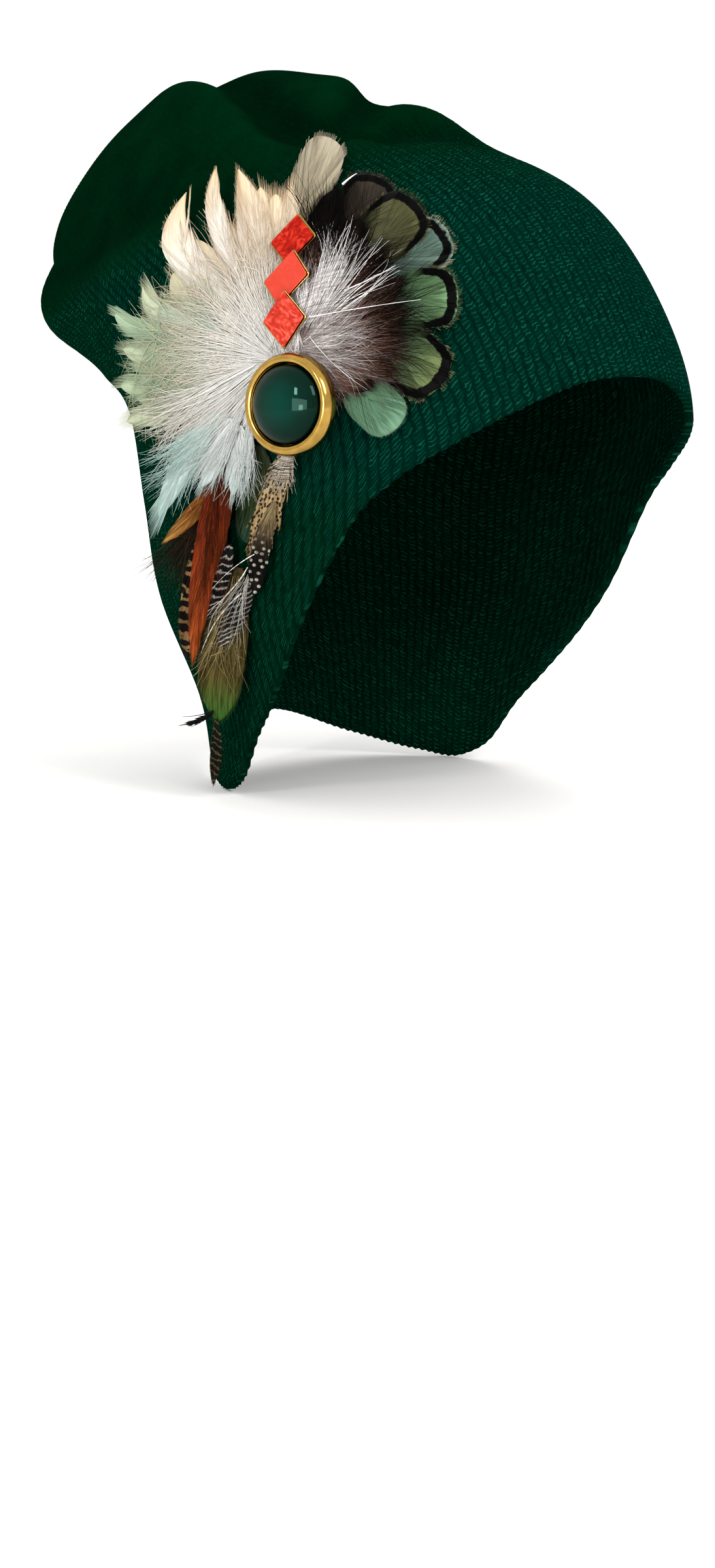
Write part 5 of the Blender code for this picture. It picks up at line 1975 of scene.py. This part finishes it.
@dataclass
class Brooch:
    """A round gold bezel with a domed green stone."""

    gold: Material
    stone: EmeraldCabochon = field(default_factory=EmeraldCabochon)
    facing_turn: float = -69.0
    facing_rise: float = 3.0
    place: Place = (5.4, -0.4)
    stand_off: float = 4.6
    bezel_radius: float = 15.8
    bezel_depth: float = 6.4
    bezel_floor: float = 2.2
    bezel_foot: tuple[Place, ...] = ((3.2, 0.0), (0.8, 0.7), (0.2, 1.4))
    shoulder_steps: int = 14
    lip_steps: int = 5
    dome_steps: int = 28
    crest_drop: float = 0.5
    girdle_drop: float = 0.9
    lip_width: float = 1.6
    lip_edge: float = 0.35
    stone_radius: float = 12.0
    stone_dome: float = 5.4
    stone_foot: float = 0.6
    heart_height: float = 0.35
    gap: float = 0.3
    steps: int = 144
    sharp: float = 40.0

    def turned(self, name: str, profile: list[Place], middle: np.ndarray, axis: np.ndarray) -> Piece:
        """A closed body of revolution.

        Args:
            name: The piece's name.
            profile: Rows of radius and height, from the axis out and back to it.
            middle: The foot of the axis.
            axis: The axis.

        Returns:
            The piece, not yet dressed.
        """
        side = np.cross(axis, [0.0, 0.0, 1.0])
        side /= np.linalg.norm(side)
        angle = np.arange(self.steps) * 2.0 * math.pi / self.steps
        circle = np.cos(angle)[:, None] * side + np.sin(angle)[:, None] * np.cross(axis, side)
        rings = [middle + circle * radius + axis * height for radius, height in profile[1:-1]]
        ends = [middle + axis * profile[end][1] for end in (0, -1)]
        return closed_rings(name, rings, ends, self.sharp)

    def arc(self, start: Place, end: Place, steps: int) -> list[Place]:
        """Quarter-ellipse rows between two profile points, level at the second.

        Args:
            start: Radius and height of the first point.
            end: Radius and height of the second.
            steps: How many rows.

        Returns:
            The rows.
        """
        angles = [math.pi / 2 * step / steps for step in range(1, steps + 1)]
        return [
            (end[0] + (start[0] - end[0]) * math.cos(angle), start[1] + (end[1] - start[1]) * math.sin(angle))
            for angle in angles
        ]

    def build(self, bed: CockadeBed) -> None:
        """Build and dress the bezel and the stone.

        Args:
            bed: What the brooch stands on.
        """
        turn, rise = math.radians(self.facing_turn), math.radians(self.facing_rise)
        axis = np.array([math.sin(turn) * math.cos(rise), -math.cos(turn) * math.cos(rise), math.sin(rise)])
        seat = bed.seat(np.array(self.place), np.array(0.0)) + axis * self.stand_off
        recess = self.stone_radius + self.gap
        crest = self.bezel_depth - self.crest_drop
        girdle = crest - self.girdle_drop
        radius, floor = self.bezel_radius, self.bezel_floor
        top, edge = (recess + self.lip_width, self.bezel_depth), (recess + self.lip_edge, crest)
        rows = [(0.0, 0.0), *((radius - inward, height) for inward, height in self.bezel_foot), (radius, floor)]
        rows += self.arc((radius, floor), top, self.shoulder_steps) + self.arc(edge, top, self.lip_steps)[-2::-1]
        rows += [edge, (recess + 0.1, crest - 0.15), (recess, girdle), (recess, floor), (0.0, floor)]
        bezel = self.turned("gold_bezel", rows, seat, axis)
        bezel.data.materials.append(self.gold)
        hand_over(bezel, "brooch_bezel")
        base, foot = floor + self.gap, self.stone_foot
        radius = self.stone_radius
        rows = [(0.0, base), (radius - foot, base), (radius, base + foot), (radius, girdle)]
        rows += self.arc((radius, girdle), (0.0, girdle + self.stone_dome), self.dome_steps)
        stone = self.turned("domed_stone", rows, seat, axis)
        heart = seat + axis * (girdle + self.stone_dome * self.heart_height)
        stone.data.materials.append(self.stone.material(heart, radius))
        hand_over(stone, "brooch_stone")


# ---------------------------------------------------------------------------------------------------------------
# Studio


class Panel(NamedTuple):
    """One soft light panel that faces the hat: place, size and power in metres and watts.

    One that is gloss_only shows in gloss alone, as a far window does, and lights nothing else.
    """

    name: str
    place: tuple[float, float, float]
    width: float
    height: float
    power: float
    gloss_only: bool = False


PANELS = (
    Panel("key_softbox", (0.1, -1.7, 1.2), 0.8, 0.8, 25.0),
    Panel("left_fill", (-1.8, -0.6, 0.8), 0.2, 0.4, 10.0),
    Panel("rear_fill", (1.3, 1.7, 1.3), 1.0, 1.0, 14.0),
    Panel("window_panel", (-1.35, -0.8, -0.01), 0.26, 0.2, 3.8),
    Panel("window_glow", (-1.3, -0.76, 0.1), 0.96, 0.44, 12.0, gloss_only=True),
)


@dataclass
class Studio:
    """A round cove of pale card, soft lights and the camera."""

    floor_height: float
    cove_radius: float = 6.0
    cove_bend: float = 2.5
    cove_middle: float = 0.4
    cove_steps: int = 16
    cove_columns: int = 96
    lens: float = 64.77
    eye: tuple[float, float, float] = (-0.5714, -0.7582, 0.0332)
    heading: float = -35.9
    pitch: float = 80.6
    sky: float = 1.18

    def build(self) -> None:
        """Set the floor, the lights, the world and the camera."""
        scene = bpy.context.scene
        self.cove()
        for panel in PANELS:
            self.light(panel)
        scene.world = bpy.data.worlds.new("studio_air")
        scene.world.use_nodes = True
        air = Wiring(scene.world.node_tree)
        air.tree.nodes.clear()
        glow = air.add("ShaderNodeBackground", {"Color": (1.0, 1.0, 1.0, 1.0), "Strength": self.sky})
        add_node(air.tree, "ShaderNodeOutputWorld", {"Surface": glow})
        camera = placed("camera", bpy.data.cameras.new("camera"))
        camera.data.lens = self.lens
        camera.location = self.eye
        camera.rotation_euler = (math.radians(self.pitch), 0.0, math.radians(self.heading))
        scene.camera = camera
        scene.view_settings.view_transform = "Standard"

    def cove(self) -> None:
        """Lay the floor, bent up into a low wall all round."""
        bend = np.radians(np.linspace(0.0, 90.0, self.cove_steps))[1:]
        inner = self.cove_radius - self.cove_bend
        rows = [(self.cove_middle * inner, 0.0), (inner, 0.0)]
        rows += [(inner + self.cove_bend * math.sin(a), self.cove_bend * (1 - math.cos(a))) for a in bend]
        angle = np.arange(self.cove_columns) * 2.0 * math.pi / self.cove_columns
        points = [(r * math.cos(a), r * math.sin(a), self.floor_height + h) for r, h in rows for a in angle]
        faces = ring_faces(len(rows), self.cove_columns, flip=True) + [tuple(range(self.cove_columns))]
        mesh = bpy.data.meshes.new("cove")
        mesh.from_pydata(points, [], faces)
        mesh.shade_smooth()
        mesh.materials.append(PaleCard().material())
        placed("cove", mesh)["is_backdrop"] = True

    def light(self, panel: Panel) -> None:
        """Hang one light panel.

        Args:
            panel: The panel.
        """
        lamp = placed(panel.name, bpy.data.lights.new(panel.name, "AREA"))
        lamp.data.shape = "RECTANGLE"
        lamp.data.size, lamp.data.size_y = panel.width, panel.height
        lamp.data.energy = panel.power
        lamp.location = panel.place
        lamp.visible_diffuse = not panel.gloss_only
        lamp.rotation_euler = (-Vector(panel.place)).to_track_quat("-Z", "Y").to_euler()


def main() -> None:
    """Build the hat in order, then the studio round it."""
    logging.basicConfig(level=logging.INFO, format="%(name)s: %(message)s")
    shell = KnitShell()
    hand_over(shell.build(rib_tree()), "knit_shell")
    bed, strands = CockadeBed(shell), strand_tree()
    for feather in FEATHERS:
        feather.build(bed, strands)
    gold = PolishedGoldPlate().material()
    for lozenge in LOZENGES:
        lozenge.build(bed, gold)
    Brooch(gold).build(bed)
    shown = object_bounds()
    Studio(shown[0].z - FLOOR_GAP).build()


if __name__ == "__main__":
    main()
